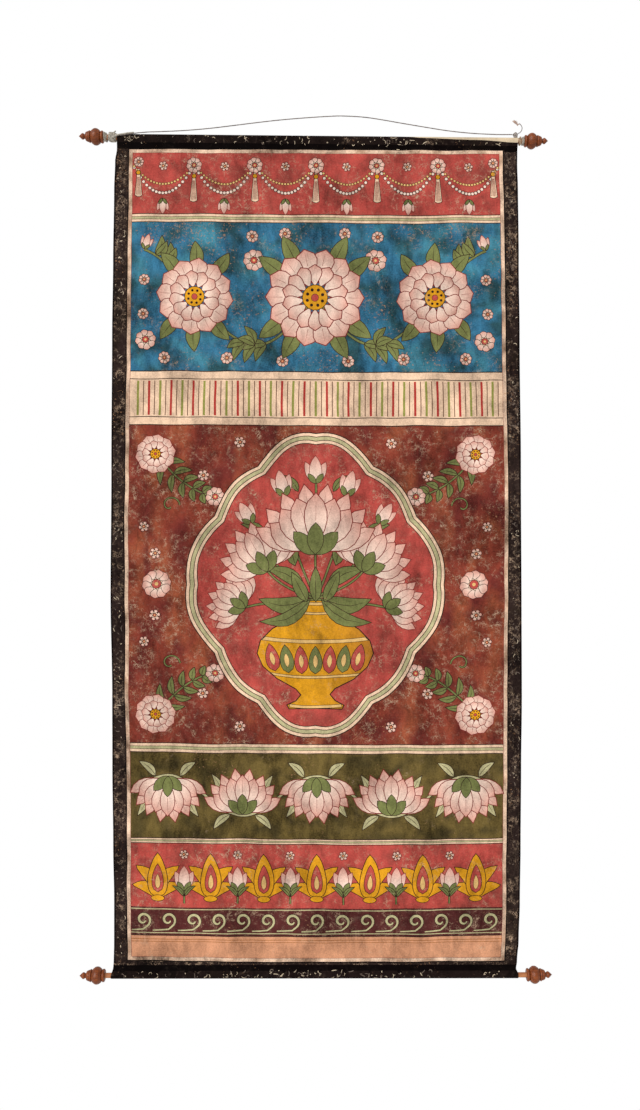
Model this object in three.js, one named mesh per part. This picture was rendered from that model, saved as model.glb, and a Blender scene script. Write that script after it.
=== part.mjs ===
// Painted cloth on two rods: a tall painted cotton banner with a rod sewn into its head and another
// into its foot, four turned finials, and a thin cord tied from end to end of the top rod.
//
// Millimetres. +X runs to the right, +Z up, and the painted face looks along -Y.
// The origin is the top of the cord, where whatever holds the banner up carries it.

import * as THREE from 'three';

// Sheet
const SHEET = 1.0; // thickness of the painted and sized cotton
const HEM_TURN = 7; // raw edge left below each line of stitching
const COLUMNS = 20; // stations across the sheet
const ROWS = 26; // stations down the sheet between its two lines of stitching

// Rods: where each meets its two finials and how high its axis is there, and how far from the axis the
// stitching of its pocket is
const ROD_RADIUS = 5;
const ROD_SIDES = 16;
const POCKET_EASE = 0.4; // between rod and pocket
const TOP_ROD = { name: 'top_rod', left: -479, right: 362.6, zLeft: -42.2, zRight: -50.4 };
const FOOT_ROD = { name: 'bottom_rod', left: -476, right: 366.8, zLeft: -1718.8, zRight: -1717.6 };
const TOP_STITCH = 20;
const FOOT_STITCH = 18;
const POCKET_LEG = 2; // steps along each flat side of a pocket
const POCKET_BEND = 10; // steps round the rod

// Side edges of the sheet, one row for each height where their line changes
const EDGES = [
  { z: -38, left: -451, right: 350.8 },
  { z: -66, left: -452, right: 348.5 },
  { z: -90, left: -456, right: 348.5 },
  { z: -150, left: -458, right: 350 },
  { z: -290, left: -460, right: 351.5 },
  { z: -440, left: -462, right: 354 },
  { z: -700, left: -464, right: 357 },
  { z: -960, left: -466, right: 358 },
  { z: -1160, left: -462.5, right: 358 },
  { z: -1300, left: -462, right: 356.5 },
  { z: -1460, left: -460, right: 355.5 },
  { z: -1570, left: -458, right: 354 },
  { z: -1650, left: -458, right: 351.5 },
  { z: -1690, left: -458.5, right: 348 },
  { z: -1706, left: -459.6, right: 345.6 },
  { z: -1712, left: -462, right: 349.6 },
  { z: -1718, left: -463.6, right: 349.7 },
  { z: -1726, left: -463.6, right: 349.8 },
];

// Soft swells and hollows of the hanging sheet: place, half width, half height, slant and depth
const SWELLS = [
  { x: -300, z: -420, wide: 190, tall: 300, slant: 0.15, out: -5 },
  { x: 60, z: -700, wide: 210, tall: 420, slant: -0.1, out: 4.5 },
  { x: 270, z: -330, wide: 90, tall: 260, slant: 0.55, out: -4 },
  { x: -250, z: -1180, wide: 170, tall: 330, slant: -0.2, out: 5 },
  { x: 240, z: -1330, wide: 110, tall: 300, slant: 0.4, out: -4.5 },
  { x: -60, z: -1480, wide: 240, tall: 160, slant: 0, out: -3 },
  { x: 348, z: -820, wide: 60, tall: 520, slant: 0, out: 4 },
  { x: -448, z: -760, wide: 55, tall: 560, slant: 0, out: 3.5 },
];
const SWELL_FADE = 150; // length over which the swells die out towards each rod

// Turned finial, from the face that meets the rod to the tip
const FINIAL_BALL = { along: 15.5, radius: 16.5, halfLength: 12.6, from: 6.2, to: 25.2, steps: 8 };
const FINIAL_COLLAR = [
  { along: 0, radius: 10.6 },
  { along: 1, radius: 12 },
  { along: 2.6, radius: 12.2 },
  { along: 4, radius: 12 },
  { along: 5, radius: 11 },
  { along: 5.5, radius: 10.4 },
];
const FINIAL_TIP = [
  { along: 25.9, radius: 10.2 },
  { along: 26.6, radius: 11.6 },
  { along: 28.8, radius: 11.7 },
  { along: 29.6, radius: 10.4 },
  { along: 30.4, radius: 10.5 },
  { along: 33, radius: 9.8 },
  { along: 35.8, radius: 8.2 },
  { along: 36.9, radius: 5.6 },
  { along: 37.8, radius: 4.4 },
  { along: 39.6, radius: 5.2 },
  { along: 41.8, radius: 6.3 },
  { along: 43.6, radius: 6 },
  { along: 46.8, radius: 3.3 },
  { along: 50.2, radius: 0 },
];
const FINIAL_SIDES = 16;
const SOCKET_DEPTH = 12;
const SOCKET_RADIUS = ROD_RADIUS + 0.7;
const SOCKET_EASE = 0.4; // between the rod's end and the bottom of the socket
const FINIALS = [
  { name: 'finial_top_left', rod: TOP_ROD, side: 'left', size: 0.98, lift: 1.5 },
  { name: 'finial_top_right', rod: TOP_ROD, side: 'right', size: 0.94, lift: 1 },
  { name: 'finial_bottom_left', rod: FOOT_ROD, side: 'left', size: 1.015, lift: -0.5 },
  { name: 'finial_bottom_right', rod: FOOT_ROD, side: 'right', size: 1.015, lift: 0.5 },
];

// Cord wound round the top rod: each is a ring of a few turns
const WRAP_SIDES = 16;
const WRAP_EASE = 0.3;
const WRAP_GROOVE = 0.9; // depth of the dip between two turns
const WRAPS = [
  { name: 'cord_wrap_left_outer', from: -478.4, to: -471.2, radius: 9.4, turns: 3 },
  { name: 'cord_wrap_left_inner', from: -469.4, to: -451.9, radius: 9.7, turns: 6 },
  { name: 'cord_wrap_right_inner', from: 351.2, to: 356.6, radius: 8.9, turns: 2 },
  { name: 'cord_wrap_right_outer', from: 356.9, to: 362.2, radius: 7.9, turns: 3 },
];

// Hanging cord and its free end, as points along the middle of the strand
const CORD_RADIUS = 1;
const CORD_SIDES = 8;
const CORD_STEPS = 68;
const CORD_ROUTE = [
  [-451.4, -7.8, -42.5],
  [-444, -7.7, -41.6],
  [-430, -7.1, -39.6],
  [-412, -5, -36.2],
  [-390, -2.4, -33.1],
  [-366, -0.4, -31.4],
  [-318, 0, -29],
  [-270, 0, -25],
  [-222, 0, -19.4],
  [-174, 0, -13.4],
  [-126, 0, -8],
  [-78, 0, -3.9],
  [-30, 0, -0.8],
  [0, 0, 0],
  [42, 0, -2.4],
  [78, 0, -7.6],
  [114, 0, -13.9],
  [162, 0, -22],
  [210, 0, -29.6],
  [258, -0.4, -34.8],
  [306, -1, -37.4],
  [338.6, -1.4, -37.7],
];
const TAIL_STEPS = 12;
const TAIL_ROUTE = [
  [349.7, -1.4, -35.6],
  [352.8, -1.2, -34.3],
  [355.4, -0.8, -31.8],
  [357.4, -0.4, -28.4],
  [358.2, 0, -24.6],
  [357.4, 0.2, -20.8],
  [355.4, 0.2, -17.6],
  [353, 0, -15.8],
  [350.9, -0.2, -16.2],
  [349.8, -0.4, -18],
];
const KNOT = {
  x: 344.5, y: -1.4, z: -38.4, radius: 3, strand: 1, steps: 60, sides: 6, lobes: 5, turn: 172,
};
const TUFT = { x: 348.1, y: -0.4, z: -18.9, turn: 135, sides: 8 };
const TUFT_PROFILE = [
  { along: 0, radius: 0 },
  { along: 0.4, radius: 1.3 },
  { along: 3, radius: 2 },
  { along: 7, radius: 2.2 },
  { along: 10, radius: 1.6 },
  { along: 12, radius: 0 },
];

// Finishes
const paintedCotton = { color: 0x5a2f26, roughness: 0.85, metalness: 0 };
const turnedWood = { color: 0x6b2f16, roughness: 0.35, metalness: 0 };
const rodWood = { color: 0xa9622f, roughness: 0.55, metalness: 0 };
const twine = { color: 0x9a948c, roughness: 0.9, metalness: 0 };

const banner = new THREE.Group();

function add(name, geometry, finish) {
  const mesh = new THREE.Mesh(geometry, new THREE.MeshStandardMaterial(finish));
  mesh.name = name;
  banner.add(mesh);
  return mesh;
}

function smoothstep(t) {
  const s = Math.min(Math.max(t, 0), 1);
  return s * s * (3 - 2 * s);
}

function rodHeight(rod, x) {
  const share = (x - rod.left) / (rod.right - rod.left);
  return rod.zLeft + share * (rod.zRight - rod.zLeft);
}

// Where the side edge called left or right stands at a height
function edgeAt(side, z) {
  if (z >= EDGES[0].z) {
    return EDGES[0][side];
  }
  for (let i = 1; i < EDGES.length; i++) {
    const upper = EDGES[i - 1];
    const lower = EDGES[i];
    if (z >= lower.z) {
      const share = smoothstep((upper.z - z) / (upper.z - lower.z));
      return upper[side] + share * (lower[side] - upper[side]);
    }
  }
  return EDGES[EDGES.length - 1][side];
}

function swellAt(x, z, topZ, footZ) {
  let out = 0;
  for (const swell of SWELLS) {
    const dz = (z - swell.z) / swell.tall;
    const dx = (x - swell.x - swell.slant * (z - swell.z)) / swell.wide;
    out += swell.out * Math.exp(-dx * dx - dz * dz);
  }
  return out * smoothstep((topZ - z) / SWELL_FADE) * smoothstep((z - footZ) / SWELL_FADE);
}

// Section of a pocket about its rod's axis, with the stitching straight below it. The points run
// round the rod from the back of the stitching to its front; a surface is a distance from the axis.
function pocketSection(surface, drop, start) {
  const contact = Math.asin(surface / drop);
  const points = [];
  const legEnd = [surface * Math.cos(contact), -surface * Math.sin(contact)];
  for (let i = 0; i <= POCKET_LEG; i++) {
    const share = i / POCKET_LEG;
    points.push([
      start[0] + share * (legEnd[0] - start[0]),
      start[1] + share * (legEnd[1] - start[1]),
    ]);
  }
  for (let i = 1; i < POCKET_BEND; i++) {
    const angle = -contact + (i / POCKET_BEND) * (Math.PI + 2 * contact);
    points.push([surface * Math.cos(angle), surface * Math.sin(angle)]);
  }
  for (let i = POCKET_LEG; i >= 0; i--) {
    const share = i / POCKET_LEG;
    points.push([
      -start[0] - share * (legEnd[0] - start[0]),
      start[1] + share * (legEnd[1] - start[1]),
    ]);
  }
  return points;
}

// The loops of one upright section of the sheet, at a share of the way across it. The two sides of a
// tunnel meet a little short of the stitching, by the rise that half the sheet's thickness gives.
function sheetSection(share) {
  const tunnel = ROD_RADIUS + POCKET_EASE;
  const place = (y, z, rod) => {
    const x = edgeAt('left', z) + share * (edgeAt('right', z) - edgeAt('left', z));
    return new THREE.Vector3(x, y, rod ? rodHeight(rod, x) + (z - rodHeight(rod, 0)) : z);
  };
  const pocket = (rod, drop, up, surface, start) =>
    pocketSection(surface, drop, start).map(([y, z]) => place(y, rodHeight(rod, 0) + up * z, rod));
  const rise = SHEET / 2 / (tunnel / TOP_STITCH);
  const topOuter = pocket(TOP_ROD, TOP_STITCH, 1, tunnel + SHEET, [SHEET, -TOP_STITCH]);
  const topTunnel = pocket(TOP_ROD, TOP_STITCH, 1, tunnel, [0, rise - TOP_STITCH]).slice(0, -1);
  const footOuter = pocket(FOOT_ROD, FOOT_STITCH, -1, tunnel + SHEET, [SHEET, -FOOT_STITCH]);
  const footTunnel = pocket(FOOT_ROD, FOOT_STITCH, -1, tunnel, [0, rise - FOOT_STITCH]).slice(0, -1);

  const topStitch = topOuter[0].z;
  const footStitch = footOuter[0].z;
  const front = [];
  const back = [];
  for (let i = 0; i <= ROWS; i++) {
    const z = footStitch + HEM_TURN + (i / ROWS) * (topStitch - footStitch - 2 * HEM_TURN);
    const point = place(0, z);
    const out = swellAt(point.x, z, topStitch, footStitch);
    front.push(new THREE.Vector3(point.x, out - SHEET, z));
    back.push(new THREE.Vector3(point.x, out, z));
  }
  const footFlap = back[0].clone().setY(SHEET);
  const topFlap = back[ROWS].clone().setY(SHEET);
  return { front, back, footFlap, topFlap, topOuter, topTunnel, footOuter, footTunnel };
}

function clothGeometry() {
  const vertices = [];
  const triangles = [];
  const numberOf = new Map();
  const vertex = (point) => {
    if (!numberOf.has(point)) {
      numberOf.set(point, vertices.length / 3);
      vertices.push(point.x, point.y, point.z);
    }
    return numberOf.get(point);
  };
  const face = (points, flip) => {
    const corners = points.map(vertex);
    for (let i = 1; i < corners.length - 1; i++) {
      const [b, c] = flip ? [corners[i + 1], corners[i]] : [corners[i], corners[i + 1]];
      triangles.push(corners[0], b, c);
    }
  };

  // Each loop runs so that the cloth is on its left, seen from the right-hand side
  const loops = (s) => {
    const outer = [
      ...s.back, s.topFlap, ...s.topOuter,
      ...[...s.front].reverse(), ...[...s.footOuter].reverse(), s.footFlap,
    ];
    return [outer, [...s.topTunnel].reverse(), s.footTunnel];
  };
  const skin = (left, right) => {
    left.forEach((loop, n) => {
      for (let k = 0; k < loop.length; k++) {
        const next = (k + 1) % loop.length;
        face([loop[k], loop[next], right[n][next], right[n][k]], false);
      }
    });
  };
  const cap = (s, flip) => {
    for (let i = 0; i < ROWS; i++) {
      face([s.back[i], s.back[i + 1], s.front[i + 1], s.front[i]], flip);
    }
    const hems = [
      { outer: s.topOuter, tunnel: s.topTunnel, flap: s.topFlap, row: ROWS, turned: flip },
      { outer: s.footOuter, tunnel: s.footTunnel, flap: s.footFlap, row: 0, turned: !flip },
    ];
    for (const { outer, tunnel, flap, row, turned } of hems) {
      const last = outer.length - 1;
      face([s.back[row], flap, outer[0], tunnel[0], outer[last], s.front[row]], turned);
      for (let k = 0; k < last; k++) {
        face([outer[k], outer[k + 1], tunnel[(k + 1) % last], tunnel[k]], turned);
      }
    }
  };

  const sections = [];
  for (let i = 0; i <= COLUMNS; i++) {
    sections.push(sheetSection(i / COLUMNS));
  }
  for (let i = 0; i < COLUMNS; i++) {
    skin(loops(sections[i]), loops(sections[i + 1]));
  }
  cap(sections[0], true);
  cap(sections[COLUMNS], false);

  const geometry = new THREE.BufferGeometry();
  geometry.setAttribute('position', new THREE.Float32BufferAttribute(vertices, 3));
  geometry.setIndex(triangles);
  geometry.computeVertexNormals();
  return geometry;
}

// Turns a piece made along +Y to lie along the rod, pointing right, or left where reversed
function layAlong(mesh, rod, reversed, lift) {
  const fall = Math.atan2(rod.zLeft - rod.zRight, rod.right - rod.left);
  const turn = THREE.MathUtils.degToRad(lift);
  mesh.rotation.order = 'YXZ';
  mesh.rotation.z = reversed ? Math.PI / 2 : -Math.PI / 2;
  mesh.rotation.y = reversed ? fall + turn : fall - turn;
}

function addRod(rod) {
  const length = rod.right - rod.left + 2 * (SOCKET_DEPTH - SOCKET_EASE);
  const dowel = new THREE.CylinderGeometry(ROD_RADIUS, ROD_RADIUS, length, ROD_SIDES);
  const mesh = add(rod.name, dowel, rodWood);
  mesh.position.set((rod.left + rod.right) / 2, 0, (rod.zLeft + rod.zRight) / 2);
  layAlong(mesh, rod, false, 0);
}

function finialGeometry(size) {
  const ball = [];
  for (let i = 0; i <= FINIAL_BALL.steps; i++) {
    const along = FINIAL_BALL.from + (i / FINIAL_BALL.steps) * (FINIAL_BALL.to - FINIAL_BALL.from);
    const share = (along - FINIAL_BALL.along) / FINIAL_BALL.halfLength;
    ball.push({ along, radius: FINIAL_BALL.radius * Math.sqrt(1 - share * share) });
  }
  const socket = [
    { along: SOCKET_DEPTH, radius: 0 },
    { along: SOCKET_DEPTH, radius: SOCKET_RADIUS },
    { along: 0, radius: SOCKET_RADIUS },
  ];
  const turned = [...FINIAL_COLLAR, ...ball, ...FINIAL_TIP];
  const profile = [
    ...socket.map((p) => new THREE.Vector2(p.radius, p.along)),
    ...turned.map((p) => new THREE.Vector2(p.radius * size, p.along * size)),
  ];
  return new THREE.LatheGeometry(profile, FINIAL_SIDES);
}

function addFinial({ name, rod, side, size, lift }) {
  const mesh = add(name, finialGeometry(size), turnedWood);
  mesh.position.set(rod[side], 0, rodHeight(rod, rod[side]));
  layAlong(mesh, rod, side === 'left', lift);
}

// A few turns of cord round the top rod, as one ring with a ridge for each turn
function addWrap({ name, from, to, radius, turns }) {
  const bore = ROD_RADIUS + WRAP_EASE;
  const width = to - from;
  const profile = [new THREE.Vector2(bore, 0)];
  for (let i = 0; i < turns; i++) {
    const start = (i / turns) * width;
    profile.push(new THREE.Vector2(radius - WRAP_GROOVE, start));
    profile.push(new THREE.Vector2(radius, start + width / turns / 3));
    profile.push(new THREE.Vector2(radius, start + (2 * width) / turns / 3));
  }
  profile.push(new THREE.Vector2(radius - WRAP_GROOVE, width));
  profile.push(new THREE.Vector2(bore, width));
  profile.push(new THREE.Vector2(bore, 0));
  const mesh = add(name, new THREE.LatheGeometry(profile, WRAP_SIDES), twine);
  mesh.position.set(from, 0, rodHeight(TOP_ROD, from));
  layAlong(mesh, TOP_ROD, false, 0);
}

function addStrand(name, route, steps) {
  const section = new THREE.Shape();
  for (let i = 0; i < CORD_SIDES; i++) {
    const angle = (i / CORD_SIDES) * 2 * Math.PI;
    const point = [CORD_RADIUS * Math.cos(angle), CORD_RADIUS * Math.sin(angle)];
    section[i === 0 ? 'moveTo' : 'lineTo'](...point);
  }
  const path = new THREE.CatmullRomCurve3(route.map((point) => new THREE.Vector3(...point)));
  add(name, new THREE.ExtrudeGeometry(section, { steps, extrudePath: path }), twine);
}

function addKnot() {
  const { x, y, z, radius, strand, steps, sides, lobes, turn } = KNOT;
  const knot = new THREE.TorusKnotGeometry(radius, strand, steps, sides, 2, lobes);
  const mesh = add('cord_knot', knot, twine);
  mesh.position.set(x, y, z);
  mesh.rotation.x = Math.PI / 2;
  mesh.rotation.z = THREE.MathUtils.degToRad(turn);
}

function addTuft() {
  const profile = TUFT_PROFILE.map((p) => new THREE.Vector2(p.radius, p.along));
  const mesh = add('cord_end_tuft', new THREE.LatheGeometry(profile, TUFT.sides), twine);
  mesh.position.set(TUFT.x, TUFT.y, TUFT.z);
  mesh.rotation.order = 'YXZ';
  mesh.rotation.z = -Math.PI / 2;
  mesh.rotation.y = -THREE.MathUtils.degToRad(TUFT.turn);
}

add('painted_cloth', clothGeometry(), paintedCotton);
addRod(TOP_ROD);
addRod(FOOT_ROD);
FINIALS.forEach(addFinial);
WRAPS.forEach(addWrap);
addStrand('cord_span', CORD_ROUTE, CORD_STEPS);
addStrand('cord_tail', TAIL_ROUTE, TAIL_STEPS);
addKnot();
addTuft();

export default banner;
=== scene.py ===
import math
import random

import bpy
import numpy as np
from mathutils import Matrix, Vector, noise
from mathutils.geometry import delaunay_2d_cdt


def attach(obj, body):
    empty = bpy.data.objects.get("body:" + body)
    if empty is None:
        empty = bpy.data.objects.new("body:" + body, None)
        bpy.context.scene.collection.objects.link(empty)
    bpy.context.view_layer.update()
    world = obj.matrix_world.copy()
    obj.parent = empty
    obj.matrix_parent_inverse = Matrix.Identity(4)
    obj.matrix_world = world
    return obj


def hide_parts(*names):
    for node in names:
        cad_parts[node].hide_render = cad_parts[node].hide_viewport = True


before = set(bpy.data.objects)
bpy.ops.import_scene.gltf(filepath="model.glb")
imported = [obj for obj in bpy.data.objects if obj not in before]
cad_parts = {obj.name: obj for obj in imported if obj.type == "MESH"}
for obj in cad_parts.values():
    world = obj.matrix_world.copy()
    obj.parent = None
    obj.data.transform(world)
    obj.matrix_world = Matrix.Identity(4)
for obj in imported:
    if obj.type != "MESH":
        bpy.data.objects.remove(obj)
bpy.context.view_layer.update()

# One seed for the noise, so that the drawn lines wander the same way on every run
noise.seed_set(21)

# A painted cotton banner on two rods, hanging upright with its painted face towards -Y.
# Lengths in the tables are millimetres. The origin is the top of the hanging cord.
MM = 0.001


def table(columns, *rows):
    """The rows as records, with a name for each column."""
    return [dict(zip(columns.split(), row)) for row in rows]


# Camera: straight on, this far from the cloth, level with the middle of the picture
CAMERA = {"x": -46, "distance": 1900, "z": -878}
FOCAL_PIXELS = 950
FRAME_PIXELS = 1110
SENSOR = 36

# Studio: a white surround, a wide soft lamp from the upper left, and a floor below the banner
SURROUND = 0.56
LAMP = {"strength": 1.95, "spread": 50, "towards": (-0.5, -0.76, 0.42)}
FLOOR = {"z": -2190, "x": -54, "y": -1850, "wide": 4200, "deep": 4300}
FLOOR_PAINT = {"colour": (0.86, 0.86, 0.85, 1), "rough": 0.9}

# Rods: where each meets its finials, the height of its axis there, and the distance to its stitching
ROD_RADIUS = 5.0
TOP_ROD = {"left": -479.0, "right": 362.6, "z_left": -42.2, "z_right": -50.4, "stitch": 20, "up": 1}
FOOT_ROD = {"left": -476.0, "right": 366.8, "z_left": -1718.8, "z_right": -1717.6, "stitch": 18, "up": -1}
ROD_IN_SOCKET = 11.6
POCKET_RADIUS = 5.9
SEAM_HALF = 0.5
HEM_TURN = 7
CLOTH = 0.7
CLOTH_MIDDLE = -0.5

# Side edges of the sheet, one row for each height where their line changes
EDGES = table(
    "z left right",
    (-38, -451, 350.8), (-66, -452, 348.5), (-90, -456, 348.5), (-150, -458, 350), (-290, -460, 351.5),
    (-440, -462, 354), (-700, -464, 357), (-960, -466, 358), (-1160, -462.5, 358), (-1300, -462, 356.5),
    (-1460, -460, 355.5), (-1570, -458, 354), (-1650, -458, 351.5), (-1690, -458.5, 348),
    (-1706, -459.6, 345.6), (-1712, -462, 349.6), (-1718, -463.6, 349.7), (-1726, -463.6, 349.8),
)
EDGE_ROLL = {"wide": 5, "back": 1.6}

# Soft swells and hollows of the hanging sheet: place, half width, half height, slant and depth
SWELLS = table(
    "x z wide tall slant out",
    (-300, -420, 190, 300, 0.15, -5), (60, -700, 210, 420, -0.1, 4.5), (270, -330, 90, 260, 0.55, -4),
    (-250, -1180, 170, 330, -0.2, 5), (240, -1330, 110, 300, 0.4, -4.5), (-60, -1480, 240, 160, 0, -3),
    (348, -820, 60, 520, 0, 4), (-448, -760, 55, 560, 0, 3.5),
)

# Creases as soft troughs between two points, with their half width and depth
CREASES = table(
    "x0 z0 x1 z1 wide deep",
    (306, -118, 196, -330, 8, 1.5), (262, -360, 150, -470, 9, 1.0), (-452, -84, -372, -196, 8, 1.3),
    (300, -1330, 228, -1560, 9, 1.4), (232, -1290, 196, -1420, 8, 0.9), (-432, -360, -300, -560, 10, 0.8),
    (-400, -1010, -250, -1160, 10, 0.8), (340, -905, 60, -930, 7, 0.7), (-450, -905, -120, -886, 7, 0.7),
    (-430, -1478, 310, -1492, 7, 0.6),
)
CREASE_BOW = 6
FOLD_WIDE = 4.5
FOLD_DEEP = 1.5

# The sheet keeps its plane along the stitching: swells and creases fade out over these lengths
SWELL_FADE = 150
CREASE_FADE = 40

# How far the black paint runs up and over the head of the banner, above the stitching
PAINT_TOP = [
    (-470, 31), (60, 30.5), (110, 27.5), (150, 23.5), (200, 21.3), (240, 20.2), (270, 19.6), (290, 19),
    (310, 17.6), (330, 15.9), (360, 15.3),
]
PAINT_FOOT = 34

# The painted picture as it was drawn, square, round this middle; the black line and fillet outside it
MIDDLE = -54
PANEL = {"left": -422, "right": 318, "top": -74, "foot": -1692}
PANEL_WIDE = PANEL["right"] - PANEL["left"]
FILLET_WIDE = 7.6
FILLET_LINE = 2.2

# Where the square drawing lies on the cloth: the heights of its corners, the bow of its foot, and its sides
FRAME = {
    "top_left": -74.3, "top_right": -77.5, "foot_left": -1679.6, "foot_right": -1680.5, "foot_bow": -3.5,
}
FRAME_SIDES = table(
    "z left right",
    (-1678, -422.4, 315.2), (-1648, -422.2, 316.4), (-1568, -422.9, 318.4), (-1408, -424.5, 319.3),
    (-1268, -426.4, 319.9), (-1128, -428.9, 321.2), (-968, -430, 323.3), (-808, -429, 323.8),
    (-668, -427.4, 322.2), (-528, -425.4, 318.9), (-368, -423.8, 316.2), (-208, -422, 314.4),
    (-108, -420, 311.6),
)

# The wander of a hand-drawn line, slow and quick: length of its waves, their place in the noise, and reach
WANDER = ((62, 2.7, 1.7), (17, 8.1, 0.35))

# Painted shade along the stitching, where each sleeve curves back in: how far it reaches below it and above
# it
SHADE_BELOW = 3.0
SHADE_ABOVE = 10.0

# Hanging cord and its free end, as points along the middle of the strand
CORD_WIDE = 2.0
TAIL_WIDE = 1.6
CORD_ROUTE = [
    (-451.4, -7.8, -42.5), (-444, -7.7, -41.6), (-430, -7.1, -39.6), (-412, -5, -36.2),
    (-390, -2.4, -33.1), (-366, -0.4, -31.4), (-318, 0, -29), (-270, 0, -25), (-222, 0, -19.4),
    (-174, 0, -13.4), (-126, 0, -8), (-78, 0, -3.9), (-30, 0, -0.8), (0, 0, 0), (42, 0, -2.4), (78, 0, -7.6),
    (114, 0, -13.9), (162, 0, -22), (210, 0, -29.6), (258, -0.4, -34.8), (306, -1, -37.4),
    (338.6, -1.4, -37.7),
]
TAIL_ROUTE = [
    (349.7, -1.4, -35.6), (352.8, -1.2, -34.3), (355.4, -0.8, -31.8), (357.4, -0.4, -28.4),
    (358.2, 0, -24.6), (357.4, 0.2, -20.8), (355.4, 0.2, -17.6), (353, 0, -15.8), (350.9, -0.2, -16.2),
    (349.8, -0.4, -18),
]


# Camera, light and floor

def make_camera():
    data = bpy.data.cameras.new("camera")
    data.sensor_fit = "VERTICAL"
    data.sensor_height = SENSOR
    data.lens = SENSOR * FOCAL_PIXELS / FRAME_PIXELS
    camera = bpy.data.objects.new("camera", data)
    camera.location = (CAMERA["x"] * MM, -CAMERA["distance"] * MM, CAMERA["z"] * MM)
    camera.rotation_euler = (math.pi / 2, 0, 0)
    bpy.context.scene.collection.objects.link(camera)
    bpy.context.scene.camera = camera


def make_light():
    scene = bpy.context.scene
    scene.view_settings.view_transform = "Standard"
    world = bpy.data.worlds.new("studio")
    world.use_nodes = True
    tree = world.node_tree
    tree.nodes.clear()
    seen = tree.nodes.new("ShaderNodeBackground")
    lit = tree.nodes.new("ShaderNodeBackground")
    lit.inputs["Strength"].default_value = SURROUND
    for backdrop in (seen, lit):
        backdrop.inputs["Color"].default_value = (1, 1, 1, 1)
    rays = tree.nodes.new("ShaderNodeLightPath")
    pick = tree.nodes.new("ShaderNodeMixShader")
    out = tree.nodes.new("ShaderNodeOutputWorld")
    tree.links.new(rays.outputs["Is Camera Ray"], pick.inputs[0])
    tree.links.new(lit.outputs[0], pick.inputs[1])
    tree.links.new(seen.outputs[0], pick.inputs[2])
    tree.links.new(pick.outputs[0], out.inputs["Surface"])
    scene.world = world

    lamp = bpy.data.lights.new("soft_lamp", "SUN")
    lamp.energy = LAMP["strength"]
    lamp.angle = math.radians(LAMP["spread"])
    holder = bpy.data.objects.new("soft_lamp", lamp)
    holder.rotation_euler = Vector(LAMP["towards"]).to_track_quat("Z", "Y").to_euler()
    scene.collection.objects.link(holder)


def make_floor():
    bpy.ops.object.select_all(action="DESELECT")
    bpy.ops.mesh.primitive_plane_add(
        size=1, location=(FLOOR["x"] * MM, FLOOR["y"] * MM, FLOOR["z"] * MM)
    )
    floor = bpy.context.object
    floor.name = "floor"
    floor.scale = (FLOOR["wide"] * MM, FLOOR["deep"] * MM, 1)
    bpy.ops.object.transform_apply(location=True, rotation=True, scale=True)
    paint = bpy.data.materials.new("pale_floor")
    paint.use_nodes = True
    shader = paint.node_tree.nodes["Principled BSDF"]
    shader.inputs["Base Color"].default_value = FLOOR_PAINT["colour"]
    shader.inputs["Roughness"].default_value = FLOOR_PAINT["rough"]
    floor.data.materials.append(paint)


# Node helpers

def put(tree, kind, inputs=None, **settings):
    """A node with its settings, and its inputs given as values or as sockets to link."""
    made = tree.nodes.new("ShaderNode" + kind)
    for name, value in settings.items():
        setattr(made, name, value)
    for key, value in (inputs or {}).items():
        if isinstance(value, bpy.types.NodeSocket):
            tree.links.new(value, made.inputs[key])
        else:
            made.inputs[key].default_value = value
    return made


def calc(tree, operation, first, second=0.0, clamp=False):
    return put(tree, "Math", {0: first, 1: second}, operation=operation, use_clamp=clamp).outputs[0]


def times(tree, first, second):
    return calc(tree, "MULTIPLY", first, second)


def plus(tree, first, second):
    return calc(tree, "ADD", first, second)


def minus(tree, first, second):
    return calc(tree, "SUBTRACT", first, second)


def mixed(tree, factor, first, second, mode="MIX"):
    sockets = {0: factor, 6: first, 7: second}
    return put(tree, "Mix", sockets, data_type="RGBA", blend_type=mode).outputs[2]


def ramp(tree, value, low, high, bottom=0.0, top=1.0):
    """A value eased from bottom to top as it passes from low to high."""
    sockets = {"Value": value, "From Min": low, "From Max": high, "To Min": bottom, "To Max": top}
    return put(tree, "MapRange", sockets, interpolation_type="SMOOTHSTEP").outputs[0]


def cloudy(tree, vector, scale, detail=3.0, rough=0.55, distort=0.0):
    sockets = {"Vector": vector, "Scale": scale, "Detail": detail, "Roughness": rough}
    sockets["Distortion"] = distort
    return put(tree, "TexNoise", sockets).outputs["Fac"]


def stretched(tree, vector, scale, turn=(0, 0, 0)):
    return put(tree, "Mapping", {"Vector": vector, "Scale": scale, "Rotation": turn}).outputs[0]


def effect(name, inputs, outputs, build):
    """A shared effect: a node group that build fills, from its input sockets to its outputs."""
    tree = bpy.data.node_groups.new(name, "ShaderNodeTree")
    for label, (kind, value) in inputs.items():
        socket = tree.interface.new_socket(name=label, in_out="INPUT", socket_type="NodeSocket" + kind)
        if value is not None:
            socket.default_value = value
    for label, kind in outputs.items():
        tree.interface.new_socket(name=label, in_out="OUTPUT", socket_type="NodeSocket" + kind)
    entry = tree.nodes.new("NodeGroupInput")
    leave = tree.nodes.new("NodeGroupOutput")
    for label, socket in build(tree, entry.outputs).items():
        tree.links.new(socket, leave.inputs[label])
    return tree


def use(tree, group, inputs):
    """The outputs of a shared effect, placed with this material's own values."""
    return put(tree, "Group", inputs, node_tree=group).outputs


def srgb(red, green, blue):
    """A colour read off, 0 to 255, as the linear values that a shader takes."""
    values = []
    for level in (red, green, blue):
        share = level / 255
        values.append(share / 12.92 if share <= 0.04045 else ((share + 0.055) / 1.055) ** 2.4)
    return (*values, 1.0)


# Shared effects

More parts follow.
